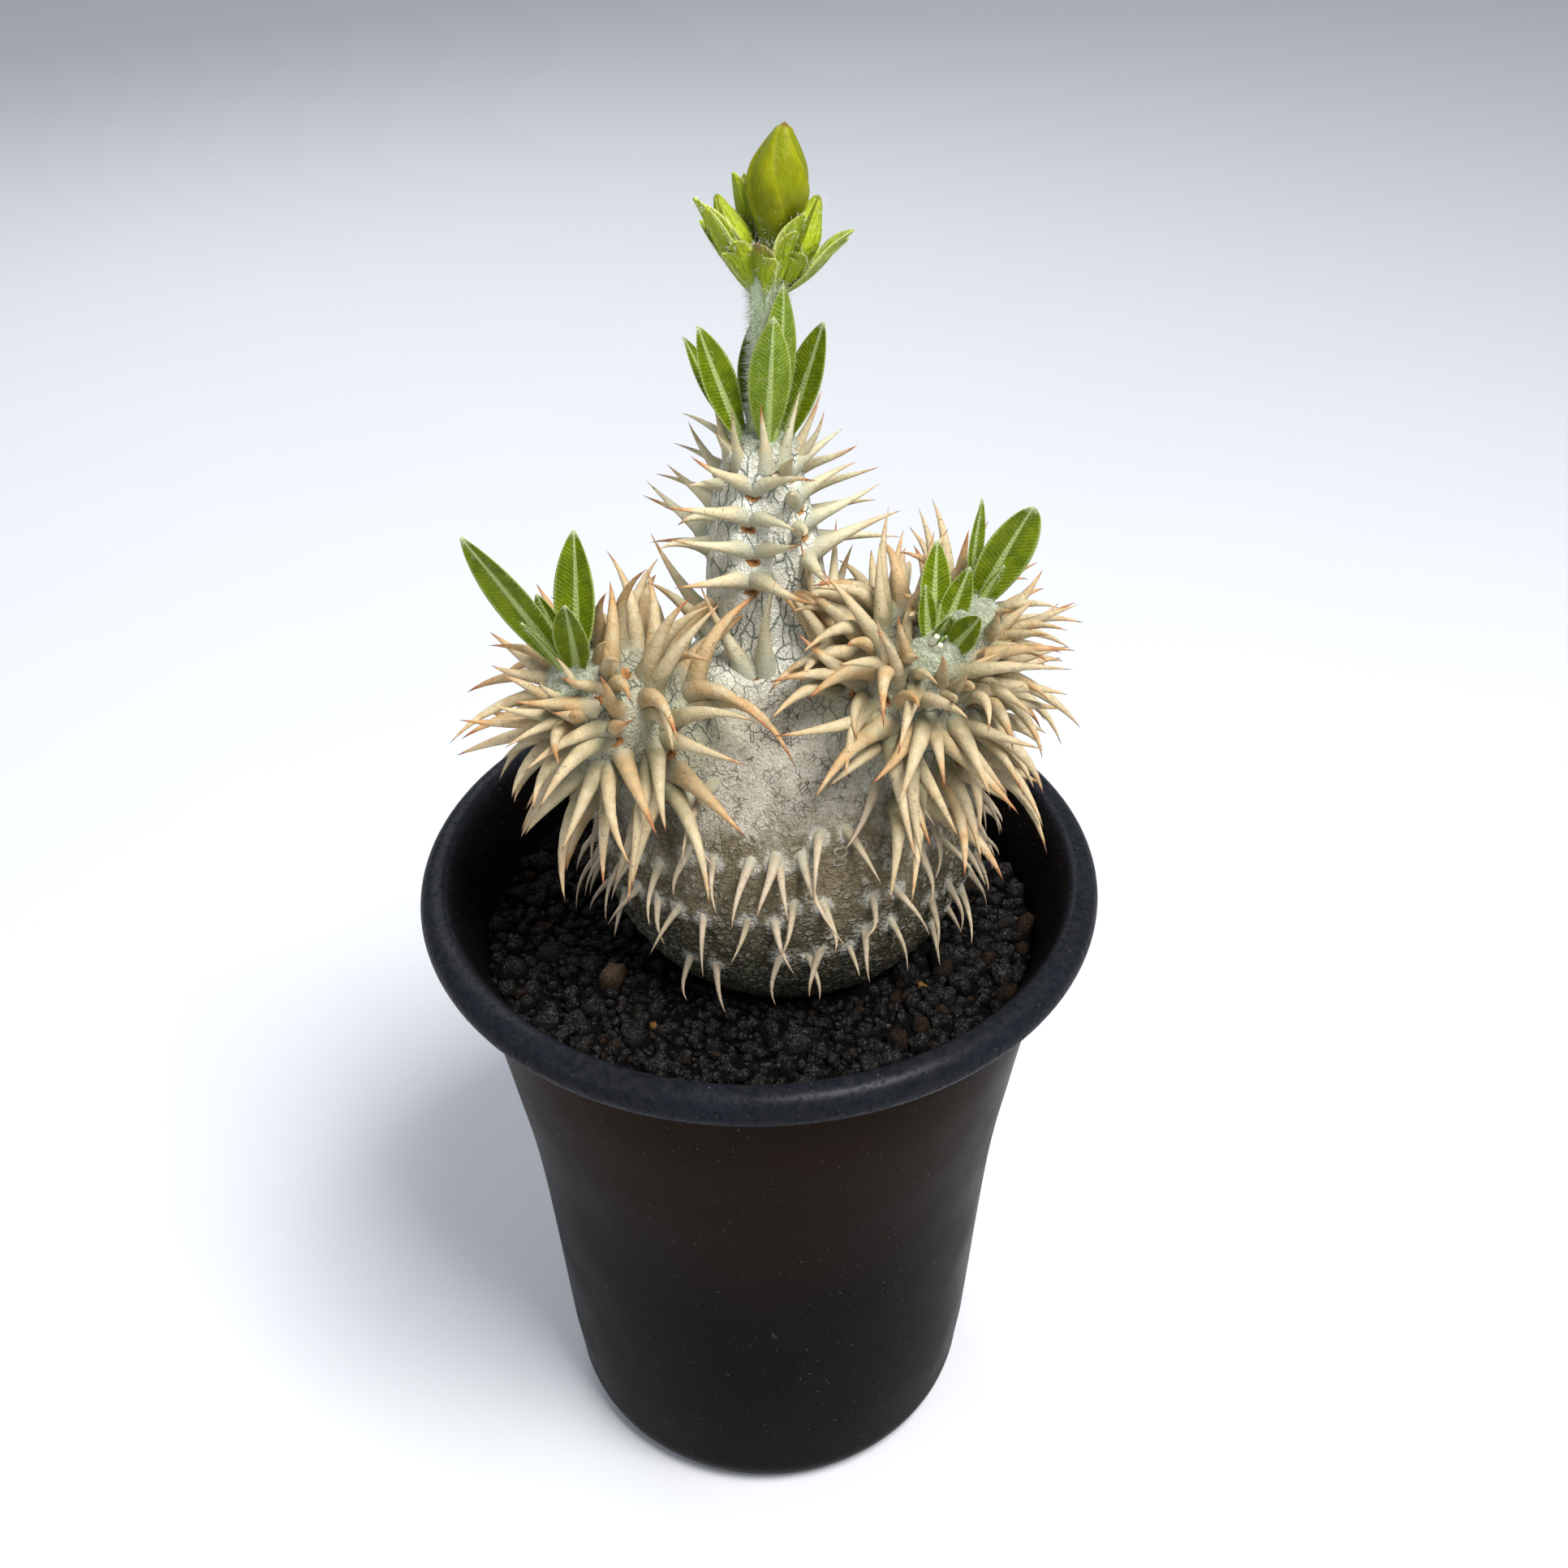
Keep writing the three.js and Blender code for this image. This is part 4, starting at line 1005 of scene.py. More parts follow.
def body_skin(cell):
    """The body's closed skin: a point in each cell that it passes, and a face across each edge between."""
    low, high = floats(BODY_BOX)
    counts = np.ceil((high - low) / cell).astype(int) + 1
    x, y, z = (low[k] + cell * np.arange(counts[k]) for k in range(3))
    layer = np.stack(np.meshgrid(x, y, indexing="ij"), axis=-1)
    values = np.empty(counts)
    for k, height in enumerate(z):
        level = np.full((*layer.shape[:2], 1), height)
        values[:, :, k] = body_field(np.concatenate([layer, level], axis=-1))
    cells = counts - 1
    crossings, quads = [], []
    for axis in range(3):
        u, v = (axis + 1) % 3, (axis + 2) % 3
        ahead = np.take(values, range(1, counts[axis]), axis)
        here = np.take(values, range(counts[axis] - 1), axis)
        places = np.argwhere((here < 0) != (ahead < 0))
        first, second = here[tuple(places.T)], ahead[tuple(places.T)]
        points = places.astype(float)
        points[:, axis] += first / (first - second)
        corners = []
        for du, dv in ((1, 1), (0, 1), (0, 0), (1, 0)):
            corner = places.copy()
            corner[:, u] -= du
            corner[:, v] -= dv
            corners.append(np.ravel_multi_index(corner.T, cells))
        corners = np.stack(corners, axis=1)
        corners[first >= 0] = corners[first >= 0][:, ::-1]
        quads.append(corners)
        crossings.append(np.repeat(points, 4, axis=0))
    quads = np.concatenate(quads)
    crossings = np.concatenate(crossings)
    used, faces = np.unique(quads, return_inverse=True)
    faces = faces.reshape(quads.shape)
    owner = faces.reshape(-1)
    total = np.bincount(owner, minlength=len(used)).astype(float)
    means = [np.bincount(owner, crossings[:, k], len(used)) / total for k in range(3)]
    points = low + cell * np.stack(means, axis=1)
    for _ in range(SKIN_MOVES):
        slope = body_slope(points)
        steep = np.maximum((slope**2).sum(axis=1), LEAST_SLOPE)
        points = points - slope * (body_field(points) / steep)[:, None]
    return points, faces


# Spine rules


def along_stem(stem, distance):
    """A stem's point, way to the tip and radius at a distance back from its growing tip."""
    line, radii = floats(stem[0]), stem[1]
    left = distance - radii[-1]
    for i in range(len(line) - 1, 0, -1):
        length = np.linalg.norm(line[i] - line[i - 1])
        if left <= length or i == 1:
            axis = (line[i] - line[i - 1]) / length
            radius = mix(radii[i], radii[i - 1], min(max(left / length, 0), 1))
            return line[i] - axis * left, axis, radius
        left -= length
    raise ValueError("A stem needs two points")


def node_angle(rule, i, seed, turn):
    """The turn of a node about its stem."""
    degrees = rule["start"] + turn + rule["divergence"] * i + rule["jitter"] * (chance(seed + i) - 0.5)
    return math.radians(degrees)


def stem_nodes(stem, rule, seed, second=False):
    """Nodes down a stem: roots on the skin, ways to the tip, ages from 0 to 1, and seeds."""
    shift, turn = (SECOND_SHIFT, SECOND_TURN) if second else (0, 0)
    starts, ways, axes, reaches, indices = [], [], [], [], []
    for i in range(rule["nodes"]):
        point, axis, radius = along_stem(stem, rule["first"] + rule["pitch"] * (i + shift))
        side, other = square_to(axis)
        angle = node_angle(rule, i, seed, turn)
        starts.append(point)
        ways.append(side * math.cos(angle) + other * math.sin(angle))
        axes.append(axis)
        reaches.append(FARTHEST_ROOT[0] * radius + FARTHEST_ROOT[1])
        indices.append(i)
    starts, ways, axes, indices = map(np.array, (starts, ways, axes, indices))
    distance = march_out(starts, ways)
    bare = (indices >= rule.get("bare_from", rule["nodes"])) & (ways[:, 1] < 0)
    kept = (distance <= np.array(reaches)) & ~bare
    roots = starts + ways * distance[:, None]
    ages = np.maximum((indices + shift) / (rule["nodes"] - 1), 0)
    return roots[kept], axes[kept], ages[kept], (seed + SEED_STEP * indices)[kept]


def globe_nodes(rule, seed, second=False):
    """Nodes over the globe, from its shoulder down to just over the soil."""
    indices = np.arange(rule["nodes"])
    ages = indices / (rule["nodes"] - 1)
    rise = mix(rule["highest"], rule["lowest"], ages)
    if second:
        rise = rise + GLOBE_SCATTER * np.array([chance(seed + 7 * i) - 0.5 for i in indices])
    flat = np.sqrt(1 - rise * rise)
    angles = np.array([node_angle(rule, i, seed, SECOND_TURN if second else 0) for i in indices])
    ways = np.stack([flat * np.cos(angles), flat * np.sin(angles), rise], axis=1)
    starts = np.broadcast_to(GLOBE_CENTRE, ways.shape)
    distance = march_out(starts, ways)
    kept = distance <= GLOBE_FARTHEST_ROOT * GLOBE_RADII[0]
    roots = starts + ways * distance[:, None]
    return roots[kept], np.tile(UP, (kept.sum(), 1)), ages[kept], (seed + SEED_STEP * indices)[kept]


def spine_pairs(nodes, rule, family, loose=1.0):
    """The spines of a row of nodes, each as three points of a curve with a radius, an age and a tone."""
    root, axis, age, seed = nodes
    normal = unit(body_slope(root))
    across = unit(np.cross(normal, axis))
    upward = np.cross(across, normal)
    grown_share = np.sqrt(age)
    rows = []
    for side in (-1, 1):
        def draw(name):
            return chance(seed + side * 3 + DRAWS[name])

        def vary(name):
            return SPINE_VARIETY[name] * loose * (draw(name) - 0.5)

        def spread(amount, direction):
            return direction * np.broadcast_to(amount, age.shape)[:, None]

        length = mix(*rule["length"], grown_share) * (1 + vary("length"))
        radius = mix(*rule["radius"], grown_share) * (1 + vary("radius"))
        skin = root + across * side * rule["pair_gap"] / 2
        start = normal + spread(mix(*rule["lift"], grown_share) + vary("lift"), upward)
        start = unit(start + spread(side * rule["spread"] + vary("spread"), across))
        end = start + spread(vary("droop") - mix(*rule["droop"], age), UP)
        end = unit(end + spread(side * SPINE_PARTING * loose + vary("drift"), across))
        foot = skin - start * SPINE_SUNK
        bend = foot + start * (SPINE_SUNK + SPINE_BEND * length)[:, None]
        tip = bend + end * ((1 - SPINE_BEND) * length)[:, None]
        hook = spread(draw("rise") - 0.5, upward) + spread(draw("sway") - 0.5, across)
        rows.append((foot, bend, tip, radius, age, draw("tone"), hook, skin))
    foot, bend, tip, radius, age, tone, hook, skin = (np.concatenate(column) for column in zip(*rows))
    return {
        "foot": foot, "bend": bend, "tip": tip, "radius": radius, "age": age, "tone": tone, "hook": hook,
        "skin": skin, "family": np.full(len(foot), family),
    }


def all_spines():
    """All spines of the plant, and the pits under its pairs."""
    groups = [
        (stem_nodes(NECK, NECK_SPINES, 1000), NECK_SPINES, NECK_FAMILY),
        (stem_nodes(NECK, NECK_CROWN, 1700), NECK_CROWN, NECK_FAMILY),
        (stem_nodes(NECK, COLLAR_SPINES, 1500), COLLAR_SPINES, NECK_FAMILY),
        (globe_nodes(GLOBE_SPINES, 5000), GLOBE_SPINES, GLOBE_FAMILY),
        (globe_nodes(GLOBE_SPINES, 5500, True), GLOBE_SPINES, GLOBE_FAMILY, LOOSE),
    ]
    for stem, seed in ((LEFT_BRANCH, 2000), (RIGHT_FRONT, 3000), (RIGHT_BACK, 4000)):
        groups.append((stem_nodes(stem, HEAD_SPINES, seed), HEAD_SPINES, HEAD_FAMILY))
        groups.append((stem_nodes(stem, HEAD_SPINES, seed + 500, True), HEAD_SPINES, HEAD_FAMILY, LOOSE))
        groups.append((stem_nodes(stem, HEAD_CROWN, seed + 700), HEAD_CROWN, HEAD_FAMILY))
    spines = [spine_pairs(*group) for group in groups]
    merged = {name: np.concatenate([row[name] for row in spines]) for name in spines[0]}
    kept = np.linalg.norm(merged["skin"] - BARE_SPOT, axis=1) > BARE_RADIUS
    merged = {name: row[kept] for name, row in merged.items()}
    pits = []
    for (root, axis, _, _), _, family, *_ in groups:
        if family == GLOBE_FAMILY:
            continue
        clear = np.linalg.norm(root - BARE_SPOT, axis=1) > BARE_RADIUS + 1
        root, axis = root[clear], axis[clear]
        normal = unit(body_slope(root))
        across = unit(np.cross(normal, axis))
        pits.append(np.stack([root, across, np.cross(across, normal)], axis=1))
    return merged, np.concatenate(pits)


def spine_lines(spines):
    """Points along each spine: curved from foot to tip, with a small hook at the end."""
    t = np.array(SPINE_STATIONS)[None, :, None]
    foot, bend, tip = (spines[name][:, None] for name in ("foot", "bend", "tip"))
    start, end = unit(bend - foot), unit(tip - bend)
    bend = bend + (start - end) * SPINE_BOW * np.linalg.norm(tip - foot, axis=-1, keepdims=True)
    lines = (1 - t) ** 2 * foot + 2 * t * (1 - t) * bend + t**2 * tip
    hook = spines["hook"] * np.array(SPINE_HOOKS)[spines["family"].astype(int)][:, None]
    return lines + hook[:, None] * (2 * np.maximum(t - 0.5, 0)) ** 2


def spine_reach(spines):
    """Half the thickness of each spine at its stations."""
    t = np.array(SPINE_STATIONS)[None]
    family = spines["family"].astype(int)
    taper, girth, flare = (np.array(table)[family][:, None] for table in (TAPERS, GIRTHS, FLARES))
    shape = SPINE_FLARE * (1 - t**taper) + flare * bell(t, FLARE_LENGTH)
    return spines["radius"][:, None] * girth * shape


def clear_of_leaves(lines, reach):
    """Which spines don't pass through a leaf."""
    clear = np.ones(len(lines), dtype=bool)
    graph = bpy.context.evaluated_depsgraph_get()
    for name in TUFTS:
        tree = BVHTree.FromObject(bpy.data.objects[f"{name}_blades"], graph)
        for i, (line, sizes) in enumerate(zip(lines, reach)):
            for point, size in zip(line[1:], sizes[1:]):
                distance = tree.find_nearest(Vector(point * MM))[3]
                clear[i] &= distance > (LEAF_GAP[0] * size + LEAF_GAP[1]) * MM
    return clear


# Growth trees


def spine_tree():
    """Turns lines into tapering spines."""
    tree = GrowthTree("Claw spines", {"Sides": "Int", "Girth": "Float", "Material": "Material"})
    line = tree.add("GeometryNodeMeshToCurve", None, {0: tree.given("Geometry")})
    values = {"Resolution": tree.given("Sides"), "Radius": 1.0}
    ring = tree.add("GeometryNodeCurvePrimitiveCircle", None, values)
    reach = tree.read("reach") * tree.given("Girth")
    values = {"Curve": line, "Profile Curve": ring, "Scale": reach, "Fill Caps": True}
    spines = tree.add("GeometryNodeCurveToMesh", None, values)
    closed = tree.add("GeometryNodeMergeByDistance", None, {0: spines, "Distance": 1e-6})
    return tree.finish(closed)


def hair_tree():
    """Stands fine curved hairs on a surface, as dense as its down says."""
    kinds = {
        "Density": "Float", "Length": "Float", "Thickness": "Float", "Tilt": "Float", "Curl": "Float",
        "Seed": "Int", "Material": "Material",
    }
    tree = GrowthTree(HAIR_TREE, kinds)
    seed = tree.given("Seed")
    density = tree.read("down") * tree.given("Density")
    values = {"Mesh": tree.given("Geometry"), "Density": density, "Seed": seed}
    points = tree.add("GeometryNodeDistributePointsOnFaces", None, values)
    upright = Signal(tree, points.socket.node.outputs["Rotation"])
    tilt = tree.scaled(tree.draw_vector((-1, -1, -3.1), (1, 1, 3.1), seed + 1), tree.given("Tilt"))
    values = {"Rotation": upright, "Rotate By": tilt}
    turned = tree.add("FunctionNodeRotateRotation", {"rotation_space": "LOCAL"}, values)
    shape = {"Vertices": 3, "Side Segments": 3, "Radius Top": 0.0, "Radius Bottom": 1.0, "Depth": 1.0}
    cone = tree.add("GeometryNodeMeshCone", {"fill_type": "NGON"}, shape)
    place = tree.add("GeometryNodeInputPosition")
    height = tree.add("ShaderNodeSeparateXYZ", None, {0: place}, "Z")
    cone = tree.store(cone, "along", height, "POINT")
    length = tree.given("Length") * tree.draw(0.5, 1.15, seed + 2)
    thickness = tree.given("Thickness")
    scale = tree.add("ShaderNodeCombineXYZ", None, {0: thickness, 1: thickness, 2: length})
    values = {"Points": points, "Instance": cone, "Rotation": turned, "Scale": scale}
    hairs = tree.add("GeometryNodeInstanceOnPoints", None, values)
    plain = tree.add("GeometryNodeRealizeInstances", None, {0: hairs})
    swing = tree.swing(tree.scaled(place, 1 / MM), HAIR_CURL_SIZE, 1.0)
    along = tree.read("along")
    offset = tree.scaled(swing, along * along * tree.given("Length") * tree.given("Curl"))
    curled = tree.add("GeometryNodeSetPosition", None, {0: plain, "Offset": offset})
    return tree.finish(curled)


def grit_tree():
    """Lays lumpy grains on a surface where it is open."""
    kinds = {
        "Spacing": "Float", "Smallest": "Float", "Largest": "Float", "Lumps": "Float", "Seed": "Int",
        "Material": "Material",
    }
    tree = GrowthTree("Grit layer", kinds)
    seed = tree.given("Seed")
    values = {
        "Mesh": tree.given("Geometry"), "Distance Min": tree.given("Spacing"), "Density Max": MOST_GRAINS,
        "Density Factor": tree.read("open"), "Seed": seed,
    }
    points = tree.add("GeometryNodeDistributePointsOnFaces", {"distribute_method": "POISSON"}, values)
    block = tree.add("GeometryNodeMeshCube", None, {"Vertices X": 3, "Vertices Y": 3, "Vertices Z": 3})
    place = tree.add("GeometryNodeInputPosition")
    ball = tree.add("ShaderNodeVectorMath", {"operation": "NORMALIZE"}, {0: place})
    grain = tree.add("GeometryNodeSetPosition", None, {0: block, "Position": ball})
    share = tree.draw(0.0, 1.0, seed + 1)
    size = tree.given("Smallest") + (tree.given("Largest") - tree.given("Smallest")) * share * share
    shape = tree.scaled(tree.draw_vector(*GRAIN_SHAPES, seed + 2), size)
    turn = tree.draw_vector((0, 0, 0), (6.3, 6.3, 6.3), seed + 3)
    values = {"Points": points, "Instance": grain, "Rotation": turn, "Scale": shape}
    grains = tree.add("GeometryNodeInstanceOnPoints", None, values)
    grains = tree.store(grains, "tint", tree.draw(0.0, 1.0, seed + 4), "INSTANCE")
    grains = tree.store(grains, "size", size, "INSTANCE")
    height = tree.add("ShaderNodeSeparateXYZ", None, {0: place}, "Z")
    grains = tree.store(grains, "middle", height, "INSTANCE")
    plain = tree.add("GeometryNodeRealizeInstances", None, {0: grains})
    swing = tree.swing(tree.scaled(place, 1 / MM), GRAIN_LUMP_SIZE, 3.0, 0.7)
    offset = tree.scaled(swing, tree.read("size") * tree.given("Lumps"))
    rough = tree.add("GeometryNodeSetPosition", None, {0: plain, "Offset": offset})
    # Each point's height in its grain, which the soil's finish reads to paint light on grain tops and shade
    # at their feet.
    crown = (height - tree.read("middle")) / tree.read("size")
    return tree.finish(tree.store(rough, "crown", crown, "POINT"))


# Materials


def pot_finish(settings):
    """Satin black plastic: grainy rolled lip with a painted bluish sheen, faint scuffs, dust under the lip,
    and a painted warm reflection of the floor on the outer wall.
    """
    finish = Finish("pot_plastic", specular_ior_level=0.012, coat_roughness=0.34)
    grain = finish.cells(finish.wander(1.2, 0.4), 0.8, "SMOOTH_F1")
    broad = finish.patches(16)
    far = finish.far
    lip = finish.rise(finish.height, 109.4, 110.6) * finish.rise(far, 47.4, 48.4)
    inner_side = 1 - finish.rise(far - 0.089 * finish.height, 35.5, 35.8)
    outside = 1 - finish.rise(finish.height, 101, 103) * inner_side
    finish.colour = finish.blend(broad, settings.wall_colour, (0.0065, 0.0052, 0.0045))
    # Painted reflection: a warm brown band on the outer wall, below the lip, stands in for the floor
    # reflected in the plastic.
    warm = finish.band(finish.height, 40, 108, 109.7, 110.4) * outside
    finish.paint(warm * 0.85, (0.0165, 0.0085, 0.0045))
    # Painted sheen: the rolled lip is painted a lighter bluish colour.
    finish.paint(lip * (0.75 + 0.25 * broad), settings.lip_sheen_colour)
    streak = finish.noise(finish.stretch(finish.wander(6, 1.5), (1, 1, 0.22)), 0.9, 3.0, 0.7)
    scuff = finish.rise(streak, 0.68, 0.73) * finish.spots(0.5, 0.62, 24, 2.0) * (1 - lip)
    line = finish.band(finish.height, 109.0, 109.6, 109.9, 110.6) * finish.rise(far, 45.9, 46.3)
    dust = line * finish.spots(0.42, 0.6, 1.4, 4.0, 0.7) * 0.45
    specks = finish.spots(0.74, 0.78, 0.45, 1.0)
    film = finish.patches(1.2) * finish.rise(finish.height, 112, 116) * 0.02
    dirt = (scuff * 0.22 + dust + specks * 0.25 + film).at_most(1.0)
    finish.paint(dirt, settings.dust_colour)
    roughness = 0.3 + 0.1 * broad + 0.25 * dirt
    normal = finish.relief(0.16 * grain * lip + 0.03 * finish.lumps(0.4, 2.0), 1)
    sheen = lip * finish.rise(grain, 0.05, 0.5)
    return finish.done(roughness, normal, 0.02 + 0.13 * sheen)


def grit_finish(settings):
    """Porous dark grains, with a few brown and grey ones; grain tops are painted lighter with painted glints,
    and their feet and the gaps between them get painted shade.
    """
    finish = Finish("soil", specular_ior_level=0.1)
    tint = finish.read("tint")
    crown = finish.rise(finish.read("crown"), 0.0, 0.8)
    patch = finish.patches(0.8, 3.0, 0.75)
    # Painted light: the tops of the grains are painted lighter.
    dark = finish.blend(patch * crown, settings.dark_colour, (0.024, 0.023, 0.0225))
    # Painted highlight: pale glints on the upper parts of the grains.
    painted_glint = finish.spots(0.52, 0.62, 0.45, 3.0, 0.75) * finish.rise(crown, 0.3, 1.0)
    dark = finish.blend(painted_glint * 0.75, dark, (0.10, 0.098, 0.095))
    brown = finish.blend(patch, (0.018, 0.011, 0.007), settings.brown_colour)
    grey = finish.blend(patch, (0.04, 0.036, 0.032), settings.grey_colour)
    finish.colour = finish.blend(finish.rise(tint, 0.91, 0.93), dark, brown)
    finish.paint(finish.rise(tint, 0.988, 0.99), grey)
    finish.paint(finish.rise(tint, 0.998, 0.9985), (0.24, 0.12, 0.04))
    # Painted shade: near black towards each grain's foot, and on the bed between the grains, which carries no
    # crown.
    finish.paint((1 - crown) * 0.8, (0.0016, 0.0014, 0.0014))
    pores = finish.rise(finish.cells(finish.place, 0.45), 0.1, 0.6)
    normal = finish.relief(0.9 * finish.lumps(0.7, 4.0, 0.8) + 0.3 * pores, 1)
    return finish.done(0.5 + 0.3 * patch, normal)


def bark_finish(settings):
    """Pale speckled dome, dark scaly foot, whitish cracked neck and orange pits."""
    finish = Finish("bark", specular_ior_level=0.2)
    stem, neck, scar = finish.read("stem"), finish.read("neck"), finish.read("scar")
    wool, collar = finish.read("wool"), finish.read("collar")
    place = finish.wander(3, 0.9)
    coarse = finish.patches(8)
    fine = finish.patches(0.9, 3.0, 0.75)
    grains = finish.patches(0.35, 2.0, 0.7)

    foot = 1 - finish.rise(finish.height + 9 * (coarse - 0.5), 131, 145)
    low = 1 - finish.rise(finish.height + 8 * (coarse - 0.5), 114, 130)
    flat_cells = finish.stretch(finish.wander(1.5, 0.3), (1, 1, 1.3))
    inside = finish.rise(finish.cells(flat_cells, 1.2, "DISTANCE_TO_EDGE"), 0.04, 0.16)
    shade = finish.cells(flat_cells, 1.2, output="Color")
    chosen = finish.rise(shade, 0.12 + 0.5 * (1 - low), 0.4 + 0.5 * (1 - low))
    scales = inside * chosen
    olive = finish.blend(fine, (0.24, 0.20, 0.125), (0.13, 0.105, 0.058))
    olive = finish.blend(low, olive, finish.blend(fine, settings.foot_colour, (0.115, 0.10, 0.056)))
    olive = finish.blend(scales * (0.4 + 0.45 * fine), olive, (0.31, 0.29, 0.215))
    gaps = (1 - inside) * (0.35 + 0.65 * low)
    olive = finish.blend(gaps * 0.6, olive, (0.045, 0.04, 0.022))

    ring = finish.cells(finish.stretch(finish.wander(1.6, 0.9), (1, 1, 1.35)), 3.3, "F1")
    rings = finish.band(ring, 0.17, 0.24, 0.27, 0.36) * finish.spots(0.42, 0.55, 7, 2.0) * (1 - stem)

    dome = finish.blend(grains * 0.8, settings.dome_colour, (0.34, 0.30, 0.215))
    dome = finish.blend(finish.patches(5) * 0.6, dome, (0.66, 0.635, 0.55))
    dome = finish.blend(finish.spots(0.55, 0.66, 2.6, 4.0, 0.7) * 0.5, dome, (0.23, 0.19, 0.12))
    stem_bark = finish.blend(neck, (0.47, 0.45, 0.33), settings.neck_colour)
    mottle = finish.blend(neck, (0.28, 0.27, 0.17), (0.56, 0.575, 0.47))
    stem_bark = finish.blend(grains * 0.22, stem_bark, mottle)
    finish.colour = finish.blend(foot, finish.blend(stem, dome, stem_bark), olive)
    finish.paint(rings * 0.45, (0.56, 0.54, 0.45))

    long_cells = finish.stretch(place, (1, 1, 0.36))
    broad_cracks = finish.cracks(long_cells, 1.9, 0.06) * stem * finish.spots(0.36, 0.5, 5, 2.0)
    hair_cracks = finish.cracks(long_cells, 0.8, 0.1) * 0.32 * stem * finish.patches(3)
    cracks = (broad_cracks + hair_cracks).at_most(1.0) * (1 - wool)
    crackle = finish.cracks(place, 1.0, 0.09) * finish.spots(0.49, 0.58, 3.4, 3.0, 0.7)
    crackle = crackle * (1 - stem) * (1 - foot)
    specks = finish.spots(0.62, 0.68, 0.36, 2.0, 0.6) * finish.spots(0.4, 0.56, 6, 2.0)
    finish.paint(cracks * 0.8, settings.crack_colour)
    finish.paint((crackle * 0.75 + specks * 0.8).at_most(1.0), (0.06, 0.048, 0.036))
    fuzzy = finish.rise(collar + 0.35 * (fine - 0.5), 0.25, 0.75)
    finish.paint(fuzzy * 0.7, (0.66, 0.64, 0.57))
    finish.paint(wool * 0.9, finish.blend(fine, (0.50, 0.53, 0.42), (0.24, 0.28, 0.17)))
    hollow = finish.rise(scar + 0.2 * (fine - 0.5), 0.3, 0.55)
    deep = finish.rise(scar, 0.72, 0.95)
    finish.paint(hollow, finish.blend(fine * 0.4, settings.scar_colour, (0.62, 0.33, 0.12)))
    finish.paint(deep * 0.75, (0.12, 0.045, 0.018))
    # Darker just above the soil line.
    soil_line_dark = 1 - finish.rise(finish.height + 2 * coarse, 103.5, 107.5)
    finish.paint(soil_line_dark * 0.65, (0.05, 0.038, 0.018))

    height = 0.16 * grains + 0.3 * rings + 0.15 * fine + 0.3 * scales * foot - 0.14 * gaps
    normal = finish.relief(height - 0.45 * cracks - 0.25 * crackle, 1)
    return finish.done(0.74 + 0.2 * fine, normal)


def spine_finish(settings):
    """Spines from khaki at the foot through cream to an orange and dark red tip, with black specks."""
    finish = Finish("spine", specular_ior_level=0.35)
    along, tone, family = finish.read("along"), finish.read("tone"), finish.read("family")
    patch = finish.patches(3.2)
    share = along + 0.16 * (patch - 0.5) + 0.16 * (tone - 0.5)
    globe = finish.rise(family, 1.5, 1.9)
    high = 1 - finish.rise(family, 0.1, 0.4)
    middle = finish.blend(high * 0.6, settings.middle_colour, (0.68, 0.66, 0.46))
    base = finish.blend(high * 0.7, settings.base_colour, (0.50, 0.51, 0.38))
    finish.colour = finish.blend(finish.rise(share, 0.05, 0.5), base, middle)
    orange = finish.rise(tone + 0.5 * (patch - 0.5), 0.45, 0.95) * (1 - globe)
    finish.paint(orange * (0.5 - 0.3 * high), (0.50, 0.27, 0.085))
    finish.paint(finish.rise(share, 0.6, 0.95) * (0.35 + 0.5 * tone), (0.54, 0.27, 0.09))
    finish.paint(finish.rise(share, 0.86, 1.0), settings.tip_colour)
    finish.paint(finish.rise(along + 0.05 * (patch - 0.5), 0.93, 1.0), (0.15, 0.036, 0.022))
    finish.paint(globe * (0.3 + 0.4 * tone), (0.50, 0.40, 0.32))
    grime = finish.patches(1.3, 4.0, 0.7)
    finish.paint(grime * (0.32 - 0.16 * high), (0.24, 0.19, 0.10))
    specks = finish.spots(0.61, 0.67, 0.4, 3.0, 0.65) * finish.spots(0.44, 0.58, 4, 2.0)
    finish.paint(specks * 0.85, (0.06, 0.04, 0.028))
    foot = 1 - finish.rise(along + 0.1 * (grime - 0.5), 0.1, 0.27)
    finish.paint(foot * 0.55, (0.40, 0.41, 0.32))
    normal = finish.relief(finish.lumps(0.6, 4.0, 0.7), 0.2)
    return finish.done(0.46 + 0.2 * grime, normal)


